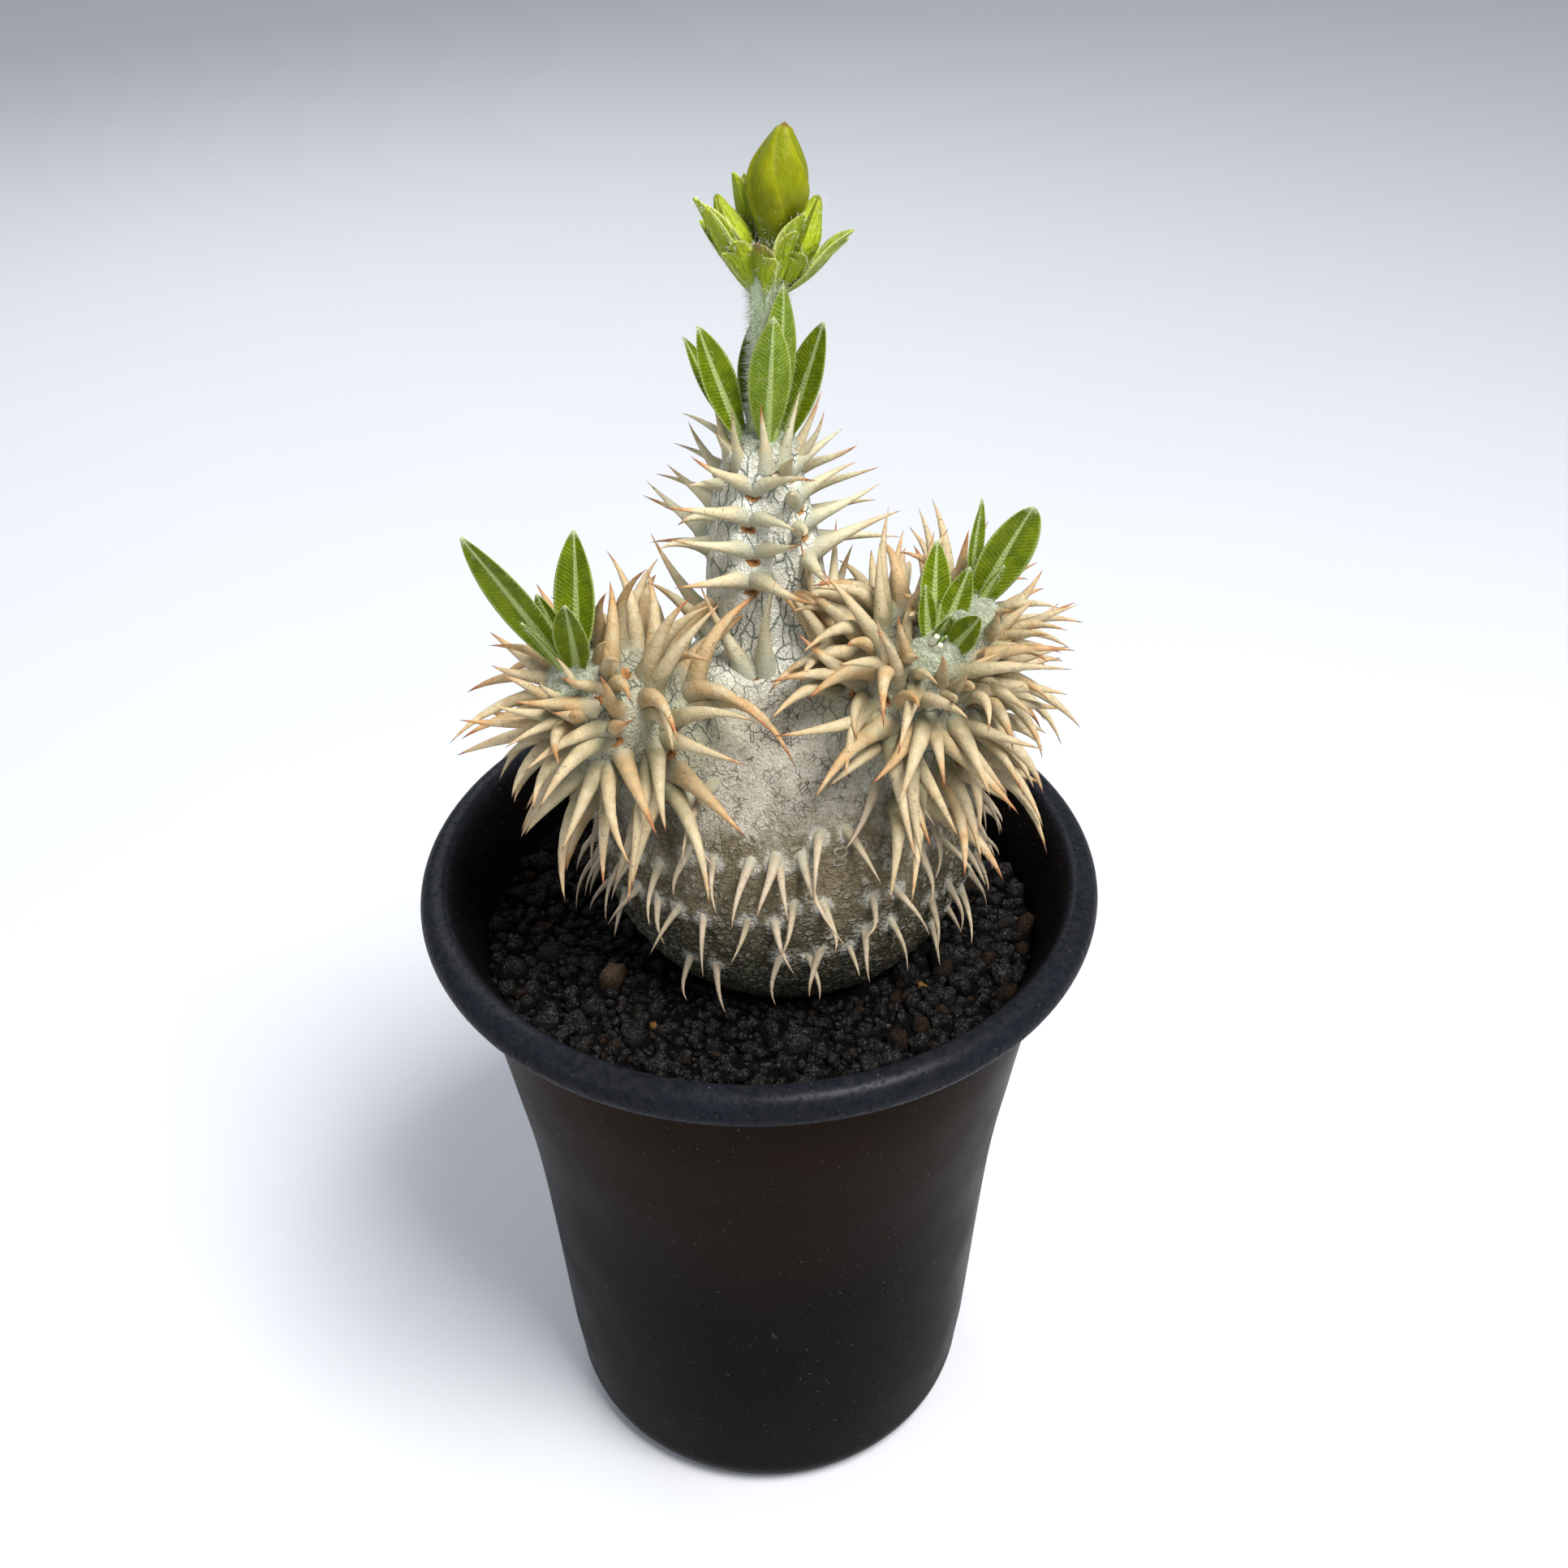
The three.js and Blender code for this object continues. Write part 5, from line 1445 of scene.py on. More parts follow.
def leaf_finish(settings):
    """Green blades with a pale midrib, fine side veins, pale margins and a grey-green underside."""
    finish = Finish("leaf", specular_ior_level=0.1)
    across, along, edge = finish.read("across"), finish.read("lengthwise"), finish.read("edge")
    under, share, fresh = finish.read("under"), finish.read("share"), finish.read("fresh")
    off = abs(across)
    phase = (along - off * 0.62 + 0.5 * (finish.lumps(1.4, 2.0) - 0.5)) / 0.6
    stripe = abs(phase.fraction() - 0.5) * 2
    vein = finish.rise(stripe, 0.5, 1.0) * finish.patches(0.9)
    patch = finish.patches(2.4)
    top = finish.blend(patch, settings.blade_colour, (0.15, 0.205, 0.003))
    low = finish.blend(patch, settings.under_colour, (0.19, 0.275, 0.025))
    finish.colour = finish.blend(vein * 0.65, finish.blend(under, top, low), settings.vein_colour)
    finish.paint(fresh * 0.55, (0.20, 0.32, 0.03))
    rib_width = 0.82 - 0.66 * share
    rib = 1 - finish.rise(off / rib_width, 0.5, 1.15)
    finish.paint(rib * 0.85, settings.midrib_colour)
    margin = finish.rise(edge, 0.84, 0.97)
    finish.paint(margin * 0.75, (0.36, 0.45, 0.13))
    pale_tip = finish.rise(share, 0.93, 1.0)
    finish.paint(pale_tip * 0.7, (0.55, 0.58, 0.36))
    down = finish.spots(0.56, 0.68, 0.3, 2.0, 0.7) * (0.10 + 0.3 * under)
    finish.paint(down, (0.44, 0.51, 0.24))
    finish.paint(finish.read("pale") * 0.9, (0.72, 0.73, 0.60))
    normal = finish.relief(1 - vein + rib, 0.09)
    normal = finish.relief(finish.lumps(0.5, 2.0), 0.06, normal)
    return finish.done(0.44 + 0.14 * patch + 0.14 * under, normal)


def bract_finish(settings):
    """Fresh green bracts with fine lengthwise streaks, pale margins and a brownish tip."""
    finish = Finish("bract", specular_ior_level=0.18)
    across, edge, share = finish.read("across"), finish.read("edge"), finish.read("share")
    blush, along = finish.read("blush"), finish.read("lengthwise")
    streak_place = finish.add("ShaderNodeCombineXYZ", None, {0: across, 1: along * 0.12, 2: 7.0 * blush})
    streak = finish.rise(finish.noise(streak_place, 0.4, 3.0, 0.6), 0.34, 0.66)
    patch = finish.patches(2.2)
    finish.colour = finish.blend(streak, (0.19, 0.27, 0.004), settings.bract_colour)
    finish.paint(patch * 0.4, (0.45, 0.53, 0.03))
    finish.paint(finish.rise(share, 0.4, 1.0) * 0.5, (0.43, 0.50, 0.05))
    finish.paint((1 - finish.rise(share, 0.05, 0.3)) * 0.4, (0.33, 0.42, 0.12))
    margin = finish.rise(edge, 0.72, 0.95)
    finish.paint(margin * 0.8, settings.margin_colour)
    tip = finish.rise(share + 0.4 * (streak - 0.5), 0.5, 1.0) * finish.rise(blush, 0.4, 0.9)
    finish.paint(tip * 0.85, settings.blush_colour)
    normal = finish.relief(streak, 0.22)
    return finish.done(0.48 + 0.15 * patch, normal)


def bud_finish(settings):
    """Waxy yellow-green petals rolled in a spiral, each painted lighter towards its raised edge as painted
    light, with painted shade along the seams and a pale downy foot.
    """
    finish = Finish("bud", specular_ior_level=0.1)
    seam, share, turn = finish.read("seam"), finish.read("share"), finish.read("turn")
    patch = finish.patches(2.8)
    streak = finish.noise(finish.stretch(finish.wander(3, 0.4), (1, 1, 0.22)), 0.4, 3.0, 0.6)
    fine = finish.rise(streak, 0.34, 0.66)
    finish.colour = finish.blend(patch, settings.bud_colour, (0.16, 0.19, 0.004))
    # Painted light: each petal is painted lighter towards its raised, overlapping edge.
    light = finish.rise(turn + 0.5 * (patch - 0.5), 0.4, 1.0)
    finish.paint(light * 0.55, settings.bud_painted_light_colour)
    finish.paint(fine * 0.15, (0.34, 0.37, 0.02))
    # Painted shade: darker along the step where one petal drops to the next.
    finish.paint(seam * 0.8, (0.10, 0.125, 0.006))
    foot = 1 - finish.rise(share + 0.12 * (patch - 0.5), 0.2, 0.45)
    finish.paint(foot * 0.8, finish.blend(fine, (0.12, 0.17, 0.015), (0.25, 0.31, 0.08)))
    finish.paint(finish.rise(share, 0.965, 0.985), (0.16, 0.10, 0.02))
    normal = finish.relief(fine, 0.03)
    return finish.done(0.36 + 0.2 * foot, normal)


def stalk_finish(settings):
    """Pale green downy stalk with lengthwise streaks."""
    finish = Finish("stalk", specular_ior_level=0.25)
    streak = finish.noise(finish.stretch(finish.place, (1, 1, 0.15)), 0.6, 4.0, 0.6)
    streak = finish.rise(streak, 0.35, 0.65)
    patch = finish.patches(2.5)
    finish.colour = finish.blend(streak, settings.stalk_colour, (0.36, 0.46, 0.22))
    finish.paint(patch * 0.4, (0.60, 0.66, 0.48))
    return finish.done(0.6 + 0.12 * patch, finish.relief(streak, 0.1))


def hair_finish():
    """Silvery white hairs, a little warmer at their ends."""
    finish = Finish("hair", specular_ior_level=0.3)
    warm = finish.rise(finish.read("along"), 0.3, 1.0)
    finish.colour = finish.blend(warm, (0.74, 0.79, 0.70), (0.84, 0.83, 0.76))
    return finish.done(0.55 + 0.1 * finish.lumps(3, 1.0))


def floor_finish(settings):
    """Plain pale floor with a faint mottle."""
    finish = Finish("floor", specular_ior_level=0.2)
    patch = finish.lumps(60, 3.0)
    dimmed = [0.97 * part for part in settings.floor_colour]
    finish.colour = finish.blend(patch, settings.floor_colour, dimmed)
    return finish.done(0.7 + 0.1 * patch)


def material_for(name, make, *settings):
    """A material, made only once."""
    return bpy.data.materials.get(f"{name}_finish") or make(*settings)


# Pot and soil


def inner_wall(height):
    """The pot's inner radius at a height."""
    heights = [CORNER_HEIGHT, *(point[1] for point in WALL_LINE)]
    radii = [FOOT_RADIUS + CORNER_WIDTH, *(point[0] for point in WALL_LINE)]
    return float(np.interp(height, heights, radii)) - POT_WALL


def soil_height(x, y):
    """The height of the soil's rough top."""
    total = 0
    for share, sine, cosine in (BROAD_WAVE, RUBBLE_WAVE):
        total = total + share * np.sin(x * sine[0] + y * sine[1] + sine[2]) * np.cos(
            x * cosine[0] + y * cosine[1] + cosine[2]
        )
    return SOIL_TOP + SOIL_RELIEF * total


def pot_profile():
    """The pot's closed outline, from the drain hole out, up, over the lip and down inside."""

    def corner(inset, low):
        angles = np.linspace(0, math.pi / 2, 9)
        radii = FOOT_RADIUS - inset + CORNER_WIDTH * np.sin(angles)
        return list(zip(radii, low + (CORNER_HEIGHT - low) * (1 - np.cos(angles))))

    wall = [tuple(point) for point in curve_through(WALL_LINE, 33)]
    turns = np.radians(np.linspace(*LIP_ARC, 26))
    lip = zip(
        RIM_RADIUS - LIP_HALF_WIDTH * (1 - np.cos(turns)), POT_HEIGHT - LIP_HALF_WIDTH * (1 - np.sin(turns))
    )
    floor = FOOT_HEIGHT + POT_WALL
    return [
        (DRAIN_RADIUS, FOOT_HEIGHT),
        (FOOT_RADIUS - FOOT_WIDTH, FOOT_HEIGHT),
        (FOOT_RADIUS - FOOT_WIDTH, 0),
        *corner(0, 0),
        *wall,
        *lip,
        *LIP_FUNNEL,
        *[(radius - POT_WALL, height) for radius, height in reversed(wall) if height < FUNNEL_FOOT],
        *reversed(corner(POT_WALL, floor)),
        (DRAIN_RADIUS, floor),
    ]


def cut_away(piece, cutter):
    """Cuts one object out of another."""
    modifier = piece.modifiers.new("Cut", "BOOLEAN")
    modifier.operation = "DIFFERENCE"
    modifier.solver = "EXACT"
    modifier.object = cutter
    piece.data = settled(piece, modifier)
    drop(cutter)


def notch_block(angle, material):
    """The block that a drain notch in the foot is cut with."""
    depth, width, height = 4 * FOOT_WIDTH, NOTCH_WIDTH, 2 * FOOT_HEIGHT
    middle = FOOT_RADIUS + FOOT_WIDTH
    turn = np.array(Matrix.Rotation(math.radians(angle), 3, "Z"))
    rings = []
    for x in (middle - depth / 2, middle + depth / 2):
        ring = [(x, -width / 2, -height), (x, width / 2, -height)]
        ring += [(x, width / 2 - NOTCH_TAPER, height / 2), (x, NOTCH_TAPER - width / 2, height / 2)]
        rings.append(np.array(ring) @ turn.T)
    return piece_from("notch", *loft(rings), material)


class PLANT_OT_pot(bpy.types.Operator):
    """Add the round black pot with its rolled lip and drain notches"""

    bl_idname = "plant.pot"
    bl_label = "Add Pot"

    def execute(self, context):
        settings = context.scene.potted_plant.pot
        material = material_for("pot_plastic", pot_finish, settings)
        pot = piece_from("pot_body", *lathe(pot_profile(), settings.segments, True), material)
        for angle in NOTCH_ANGLES:
            cut_away(pot, notch_block(angle, material))
        pot.data.shade_smooth()
        pot.data.set_sharp_from_angle(angle=math.radians(SHARP_ANGLE))
        dress(pot, "pot_plastic", "pot")
        return {"FINISHED"}


class PLANT_OT_soil(bpy.types.Operator):
    """Add the soil's bed and the grains that cover it"""

    bl_idname = "plant.soil"
    bl_label = "Add Soil"

    def execute(self, context):
        settings = context.scene.potted_plant.soil
        material = material_for("soil", grit_finish, settings)
        bed = self.make_bed(material)
        spacings = (settings.fine_spacing, MIDDLE_SPACING, settings.coarse_spacing)
        tree = grit_tree()
        meshes = []
        for spacing, (smallest, largest, lumps, step) in zip(spacings, GRAIN_LAYERS):
            inputs = {
                "Spacing": spacing, "Smallest": smallest, "Largest": largest, "Lumps": lumps,
                "Seed": settings.seed + step, "Material": material,
            }
            meshes.append(grown(bed, tree, inputs))
        grains = joined("soil_grains", meshes)
        dress(bed, "soil", "soil")
        dress(grains, "soil")
        return {"FINISHED"}

    def make_bed(self, material):
        """The solid bed, down to the pot's floor, with the hole that the plant stands in."""
        floor = FOOT_HEIGHT + POT_WALL + SEAT_GAP
        rim = inner_wall(SOIL_TOP) - SOIL_WALL_GAP
        top = [(radius, SOIL_TOP) for radius in np.linspace(0, rim, BED_RINGS)]
        walls = [(inner_wall(height) - SOIL_WALL_GAP, height) for height in SOIL_WALL_HEIGHTS]
        foot = (FOOT_RADIUS - POT_WALL - 2 * SEAT_GAP, floor)
        points, faces = lathe([*top, *walls, foot, (0, floor)], BED_SIDES, False)
        raised = points[:, 2] == SOIL_TOP
        x, y = points[raised].T[:2]
        points[raised, 2] = soil_height(x, y) - BED_SUNK
        bed = piece_from("soil_bed", points, faces, material)
        starts = np.array([(*GLOBE_CENTRE[:2], height) for height in HOLE_HEIGHTS])
        radii = march_out(starts, np.tile([1.0, 0.0, 0.0], (len(starts), 1))) + SEAT_GAP
        profile = [(0, HOLE_HEIGHTS[0]), *zip(radii, HOLE_HEIGHTS), HOLE_BOTTOM, (0, HOLE_BOTTOM[1])]
        hole = piece_from("hole", *lathe(profile, HOLE_SIDES, False, GLOBE_CENTRE[:2]), material)
        cut_away(bed, hole)
        self.mark_open_ground(bed.data)
        return bed

    def mark_open_ground(self, mesh):
        """Says where grains may lie: on the top, clear of the plant and of the pot's wall."""
        places = np.empty(3 * len(mesh.vertices))
        mesh.vertices.foreach_get("co", places)
        places = places.reshape(-1, 3) / MM
        field = body_field(places)
        rim = inner_wall(SOIL_TOP) - SOIL_WALL_GAP
        far = np.hypot(places[:, 0], places[:, 1])
        ground = (places[:, 2] > SOIL_TOP - GROUND_DEPTH) & (far < rim - GRAIN_WALL_GAP)
        carry(mesh, {"open": ground * smooth_rise(field, *GRAIN_PLANT_GAP), "tint": np.zeros(len(places))})


# Leaves, stalk, bracts and buds


def blade_width(t, fullness, foot_share):
    """The share of a blade's full width at a share of its length."""
    width = math.sin(math.pi * t**BLADE_SKEW) ** fullness
    return max(foot_share, width) if t < 0.5 else width


def blade(foot, tip, width, bow, inward, fold, fullness, foot_share=BLADE_FOOT_SHARE, flick=0.0):
    """A blade's skin and values: folded along its midrib, arched by bow, inner face towards inward.

    The end bends outwards by flick.
    """
    foot, tip = floats(foot), floats(tip)
    line = tip - foot
    length = np.linalg.norm(line)
    face = unit(inward - line * (inward @ line) / (line @ line))
    middle = foot + line / 2 + face * bow
    shares = np.linspace(0, 1, BLADE_ROWS) ** 0.92 * 0.992
    spots = np.linspace(-1, 1, BLADE_COLUMNS)
    rings, values = [], {name: [] for name in ("across", "lengthwise", "edge", "under", "share", "down")}
    for t in shares:
        centre = (1 - t) ** 2 * foot + 2 * t * (1 - t) * middle + t**2 * tip
        centre = centre - face * flick * max(t - FLICK_START, 0) ** 2 / FLICK_SPREAD
        way = unit(2 * (1 - t) * (middle - foot) + 2 * t * (tip - middle))
        across = unit(np.cross(way, face))
        inner = np.cross(across, way)
        half = width / 2 * blade_width(t, fullness, foot_share)
        wave = WAVE_SHARE * length * math.sin(WAVE_TURN * t) * min(1, 6 * t)
        flat = spots * half
        bend = fold * half * np.abs(spots) ** 1.5 * min(1, 6 * t) - wave * spots
        thick = mix(*BLADE_THICKNESS, np.abs(spots)) * (1 - 0.5 * t)
        ridge = RIB_HEIGHT * bell(flat, RIB_WIDTH) * (1 - 0.75 * t)
        groove = GROOVE_DEPTH * bell(flat, GROOVE_WIDTH) * (1 - t)
        upper = centre + flat[:, None] * across + (bend + thick - groove)[:, None] * inner
        lower = centre + flat[:, None] * across + (bend - thick - ridge)[:, None] * inner
        rings.append(np.vstack([upper, lower[::-1]]))
        down = bell(flat, RIB_WIDTH) + 0.9 * smooth_rise(t, 0.92, 1) + 0.01 + 0.6 * (np.abs(spots) > 0.95)
        values["across"].append(np.concatenate([flat, flat[::-1]]))
        values["lengthwise"].append(np.full(2 * len(spots), t * length))
        values["edge"].append(np.abs(np.concatenate([spots, spots[::-1]])))
        values["under"].append(np.repeat([0.0, 1.0], len(spots)))
        values["share"].append(np.full(2 * len(spots), t))
        values["down"].append(np.concatenate([down, 0.5 * down[::-1] + 0.08]))
    last = {"across": 0, "lengthwise": length, "edge": 1, "under": 0, "share": 1, "down": 1}
    packed = {name: np.append(np.concatenate(rows), last[name]) for name, rows in values.items()}
    return loft(rings, tip - face * flick), packed


def tuft_blades(stem, leaves, ring, sunk):
    """Each blade of a rosette, as its skin, its values and how young it is."""
    point, axis, _ = along_stem(stem, 0)
    heart = point - axis * sunk
    young = [
        {"tip": np.array(leaf["tip"]) * YOUNG_LENGTH, "width": YOUNG_WIDTH, "young": 1.0}
        for leaf in leaves[::2]
    ]
    for leaf in (*leaves, *young):
        out = floats(leaf["tip"])
        spread = unit(out - axis * (out @ axis))
        share = YOUNG_PLACE if "young" in leaf else 1
        foot = heart + spread * ring * share
        inward = mix(unit(axis - spread), FRONT, leaf.get("facing", 0))
        fullness = leaf.get("fullness", BLADE_FULLNESS)
        skin, values = blade(foot, point + out, leaf["width"], LEAF_BOW, inward, LEAF_FOLD, fullness)
        yield skin, values, leaf.get("young", 0.0)


class PLANT_OT_leaves(bpy.types.Operator):
    """Add the four rosettes of leaves and the down on their midribs"""

    bl_idname = "plant.leaves"
    bl_label = "Add Leaves"

    def execute(self, context):
        settings = context.scene.potted_plant.leaves
        material = material_for("leaf", leaf_finish, settings)
        for seed, (name, (stem, leaves, ring)) in enumerate(TUFTS.items()):
            skins = Skins()
            for skin, values, young in tuft_blades(stem, leaves, *ring):
                skins.add(skin, fresh=young, pale=0.0, **values)
            if name == "leaf_tuft_right_front":
                self.add_white_buds(skins)
            blades = skins.piece(f"{name}_blades", material)
            dress(blades, "leaf", name)
            grow_down(blades, f"{name}_down", "leaf", settings.hairs, seed)
        return {"FINISHED"}

    def add_white_buds(self, skins):
        """Two tiny buds between the leaves."""
        for foot, tip, sizes in WHITE_BUDS:
            shares, radii = smooth_radii(SIDE_BUD_STATIONS, sizes, WHITE_BUD_SIDES, SIDE_BUD_END)
            skin = spindle(foot, tip, radii, shares, WHITE_BUD_SIDES)
            share = np.append(np.repeat(shares, WHITE_BUD_SIDES), 1)
            skins.add(
                skin, fresh=0.0, pale=smooth_rise(share, 0.25, 0.6), across=2.0, lengthwise=3 * share,
                edge=0.0, under=0.0, share=0.5, down=0.3,
            )


def circle_about(axis, sides):
    """Angles round an axis, and the directions that they stand for."""
    side, other = square_to(axis)
    angles = np.linspace(0, 2 * math.pi, sides, endpoint=False)
    return angles, np.cos(angles)[:, None] * side + np.sin(angles)[:, None] * other


def spindle(foot, tip, radii, stations, sides, fold=None):
    """A closed skin from foot to tip, with a fold factor at each angle and share."""
    foot, tip = floats(foot), floats(tip)
    angles, ring = circle_about(unit(tip - foot), sides)
    rings = []
    for t, radius in zip(stations, radii):
        factor = fold(angles, t) if fold else np.ones(sides)
        rings.append(foot + (tip - foot) * t + ring * (radius * factor)[:, None])
    return loft(rings, tip)


def smooth_radii(stations, radii, count, last):
    """Radii at more stations, on a smooth line that ends at the given share."""
    line = curve_through(np.stack([stations, radii], axis=1), 8 * count)
    shares = np.linspace(0, last, count)
    return shares, np.interp(shares, line[:, 0], line[:, 1])


class PLANT_OT_stalk(bpy.types.Operator):
    """Add the downy flower stalk"""

    bl_idname = "plant.stalk"
    bl_label = "Add Flower Stalk"

    def execute(self, context):
        settings = context.scene.potted_plant.flower
        material = material_for("stalk", stalk_finish, settings)
        foot, top = floats(STALK_FOOT), floats(STALK_TOP)
        axis = unit(top - foot)
        angles, ring = circle_about(axis, STALK_SIDES)
        ring = ring * (1 + STALK_RIB_HEIGHT * np.sin(STALK_RIBS * angles))[:, None]
        shares, radii = smooth_radii(np.linspace(0, 1, len(STALK_RADII)), STALK_RADII, STALK_ROWS, 1)
        rings = [foot + (top - foot) * t + ring * radius for t, radius in zip(shares, radii)]
        for slope in np.radians(STALK_CAP_SLOPES):
            rings.append(top + axis * STALK_CAP * math.sin(slope) + ring * radii[-1] * math.cos(slope))
        skins = Skins()
        skins.add(loft(rings), down=1.0)
        stalk = skins.piece("flower_stalk_stem", material)
        dress(stalk, "stalk", "flower_stalk")
        grow_down(stalk, "flower_stalk_down", "stalk", settings.hairs, 11)
        return {"FINISHED"}


def with_inner_blades(blades, heart):
    """Each bract, which starts a little down the stalk, and a smaller one that peeps out beside it."""
    for i, (foot, tip, width, bow) in enumerate(blades):
        foot, tip = floats(foot), floats(tip)
        flick = BRACT_FLICK[0] + BRACT_FLICK[1] * chance(5 * i + width)
        yield foot - UP * BRACT_DROP, tip, BRACT_GROWTH * width, bow, flick
        inward = unit(heart - mix(foot, tip, 0.5))
        aside = unit(np.cross(tip - foot, inward)) * (INNER_ASIDE if i % 2 else -INNER_ASIDE)
        drop_by = INNER_DROP[0] + INNER_DROP[1] * chance(7 * i + width)
        inner_tip = tip + aside - UP * drop_by + inward * INNER_SHIFT[1]
        yield foot + inward * INNER_SHIFT[0], inner_tip, INNER_WIDTH * width, INNER_BOW * bow, INNER_FLICK


class PLANT_OT_bracts(bpy.types.Operator):
    """Add the bracts with their side buds and their fringes of down"""

    bl_idname = "plant.bracts"
    bl_label = "Add Bracts"

    def execute(self, context):
        settings = context.scene.potted_plant.flower
        material = material_for("bract", bract_finish, settings)
        for seed, (name, (bud, blades)) in enumerate(BRACTS.items()):
            skins = Skins()
            foot, tip = bud[:2] if bud else (BUD_FOOT, BUD_TOP)
            heart = mix(floats(foot), floats(tip), BRACT_HEART)
            for i, bract in enumerate(with_inner_blades(blades, heart)):
                blush = 1.0 if name == "bract_pair_front" and i == 0 else 0.5 * chance(70 + 10 * seed + i)
                self.add_bract(skins, bract, heart, float(blush))
            if bud:
                self.add_side_bud(skins, *bud)
            piece = skins.piece(f"{name}_blades", material)
            dress(piece, "bract", name)
            grow_down(piece, f"{name}_down", "bract", settings.hairs, 30 + seed)
        return {"FINISHED"}

    def add_bract(self, skins, bract, heart, blush):
        """One bract, which turns its inner face towards the heart of its cluster."""
        foot, tip, width, bow, flick = bract
        inward = heart - mix(foot, tip, 0.5)
        skin, values = blade(
            foot, tip, width, bow, inward, BRACT_FOLD, BRACT_FULLNESS, BRACT_FOOT_SHARE, flick
        )
        values["down"] = 0.15 + 1.3 * (values["edge"] > 0.9) + 0.9 * smooth_rise(values["share"], 0.85, 1)
        skins.add(skin, blush=blush, **values)

    def add_side_bud(self, skins, foot, tip, sizes):
        """The young bud that a cluster of bracts holds, with a rounded end."""
        shares, radii = smooth_radii(SIDE_BUD_STATIONS, sizes, 14, SIDE_BUD_END)
        radii = radii * np.where(shares > 0.85, np.sqrt(np.clip((1 - shares) / 0.15, 0, 1)), 1)
        skin = spindle(foot, tip, radii, shares, SIDE_BUD_SIDES)
        share = np.append(np.repeat(shares, SIDE_BUD_SIDES), 1)
        angle = np.append(np.tile(np.linspace(-1, 1, SIDE_BUD_SIDES), len(shares)), 0)
        values = {"across": 3 * angle, "lengthwise": 10 * share, "edge": 0.0, "under": 0.0, "share": share}
        skins.add(skin, down=0.5, blush=0.0, **values)


class PLANT_OT_bud(bpy.types.Operator):
    """Add the large bud of spirally rolled petals"""

    bl_idname = "plant.bud"
    bl_label = "Add Flower Bud"

    def execute(self, context):
        settings = context.scene.potted_plant.flower
        material = material_for("bud", bud_finish, settings)
        shares, radii = smooth_radii(BUD_STATIONS, BUD_RADII, BUD_ROWS, BUD_END)
        turns, seams = [], []

        def fold(angles, t):
            turn = (angles * BUD_FOLDS / (2 * math.pi) + BUD_TWIST * t) % 1
            lift = turn - smooth_rise(turn, FOLD_DROP, 1.0)
            turns.append(turn)
            seams.append(bell(turn - SEAM_PLACE, SEAM_WIDTH) * min(1, BUD_FOLD_RISE * t))
            return 0.95 + 1.5 * BUD_FOLD_DEPTH * (lift - 0.35) * min(1, BUD_FOLD_RISE * t)

        skin = spindle(BUD_FOOT, BUD_TOP, radii, shares, BUD_SIDES, fold)
        share = np.append(np.repeat(shares, BUD_SIDES), 1)
        # The turn and seam values carry the bud finish's painted light and painted shade.
        turn, seam = np.append(np.concatenate(turns), 0.5), np.append(np.concatenate(seams), 0)
        skins = Skins()
        skins.add(skin, share=share, turn=turn, seam=seam, down=0.6 * (1 - smooth_rise(share, 0.2, 0.5)))
        bud = skins.piece("flower_bud_petals", material)
        dress(bud, "bud", "flower_bud")
        grow_down(bud, "flower_bud_down", "bud", settings.hairs, 50)
        return {"FINISHED"}


# Caudex


def nearest(points, targets):
    """The distance from each point to the nearest target."""
    best = np.full(len(points), np.inf)
    for target in targets:
        best = np.minimum(best, ((points - target) ** 2).sum(axis=1))
    return np.sqrt(best)


def pit_depth(points, pits):
    """How deep each point lies in one of the oval pits under the spine pairs."""
    depth = np.zeros(len(points))
    for root, across, upward in pits:
        offset = points - (root - upward * PIT_DROP)
        oval = (offset @ across / PIT_HALF_WIDTH) ** 2 + (offset @ upward / PIT_HALF_HEIGHT) ** 2
        away = ((offset**2).sum(axis=1) - (offset @ across) ** 2 - (offset @ upward) ** 2) / 4
        depth = np.maximum(depth, bell(oval + away, 1))
    return depth


def scattered_cells(points, size):
    """The distance to the nearest of one random spot in each cell, as a share of the cell."""
    places = points / size
    base = np.floor(places)
    best = np.full(len(points), np.inf)
    for move in np.ndindex(3, 3, 3):
        cell = base + np.array(move) - 1
        seed = cell @ np.array([127.1, 311.7, 74.7])
        spot = cell + np.stack([chance(seed), chance(seed + 17), chance(seed + 31)], axis=1)
        best = np.minimum(best, np.linalg.norm(places - spot, axis=1))
    return best


def tip_distance(points, stem):
    """The distance from a stem's growing end."""
    return np.linalg.norm(points - along_stem(stem, 0)[0], axis=1)


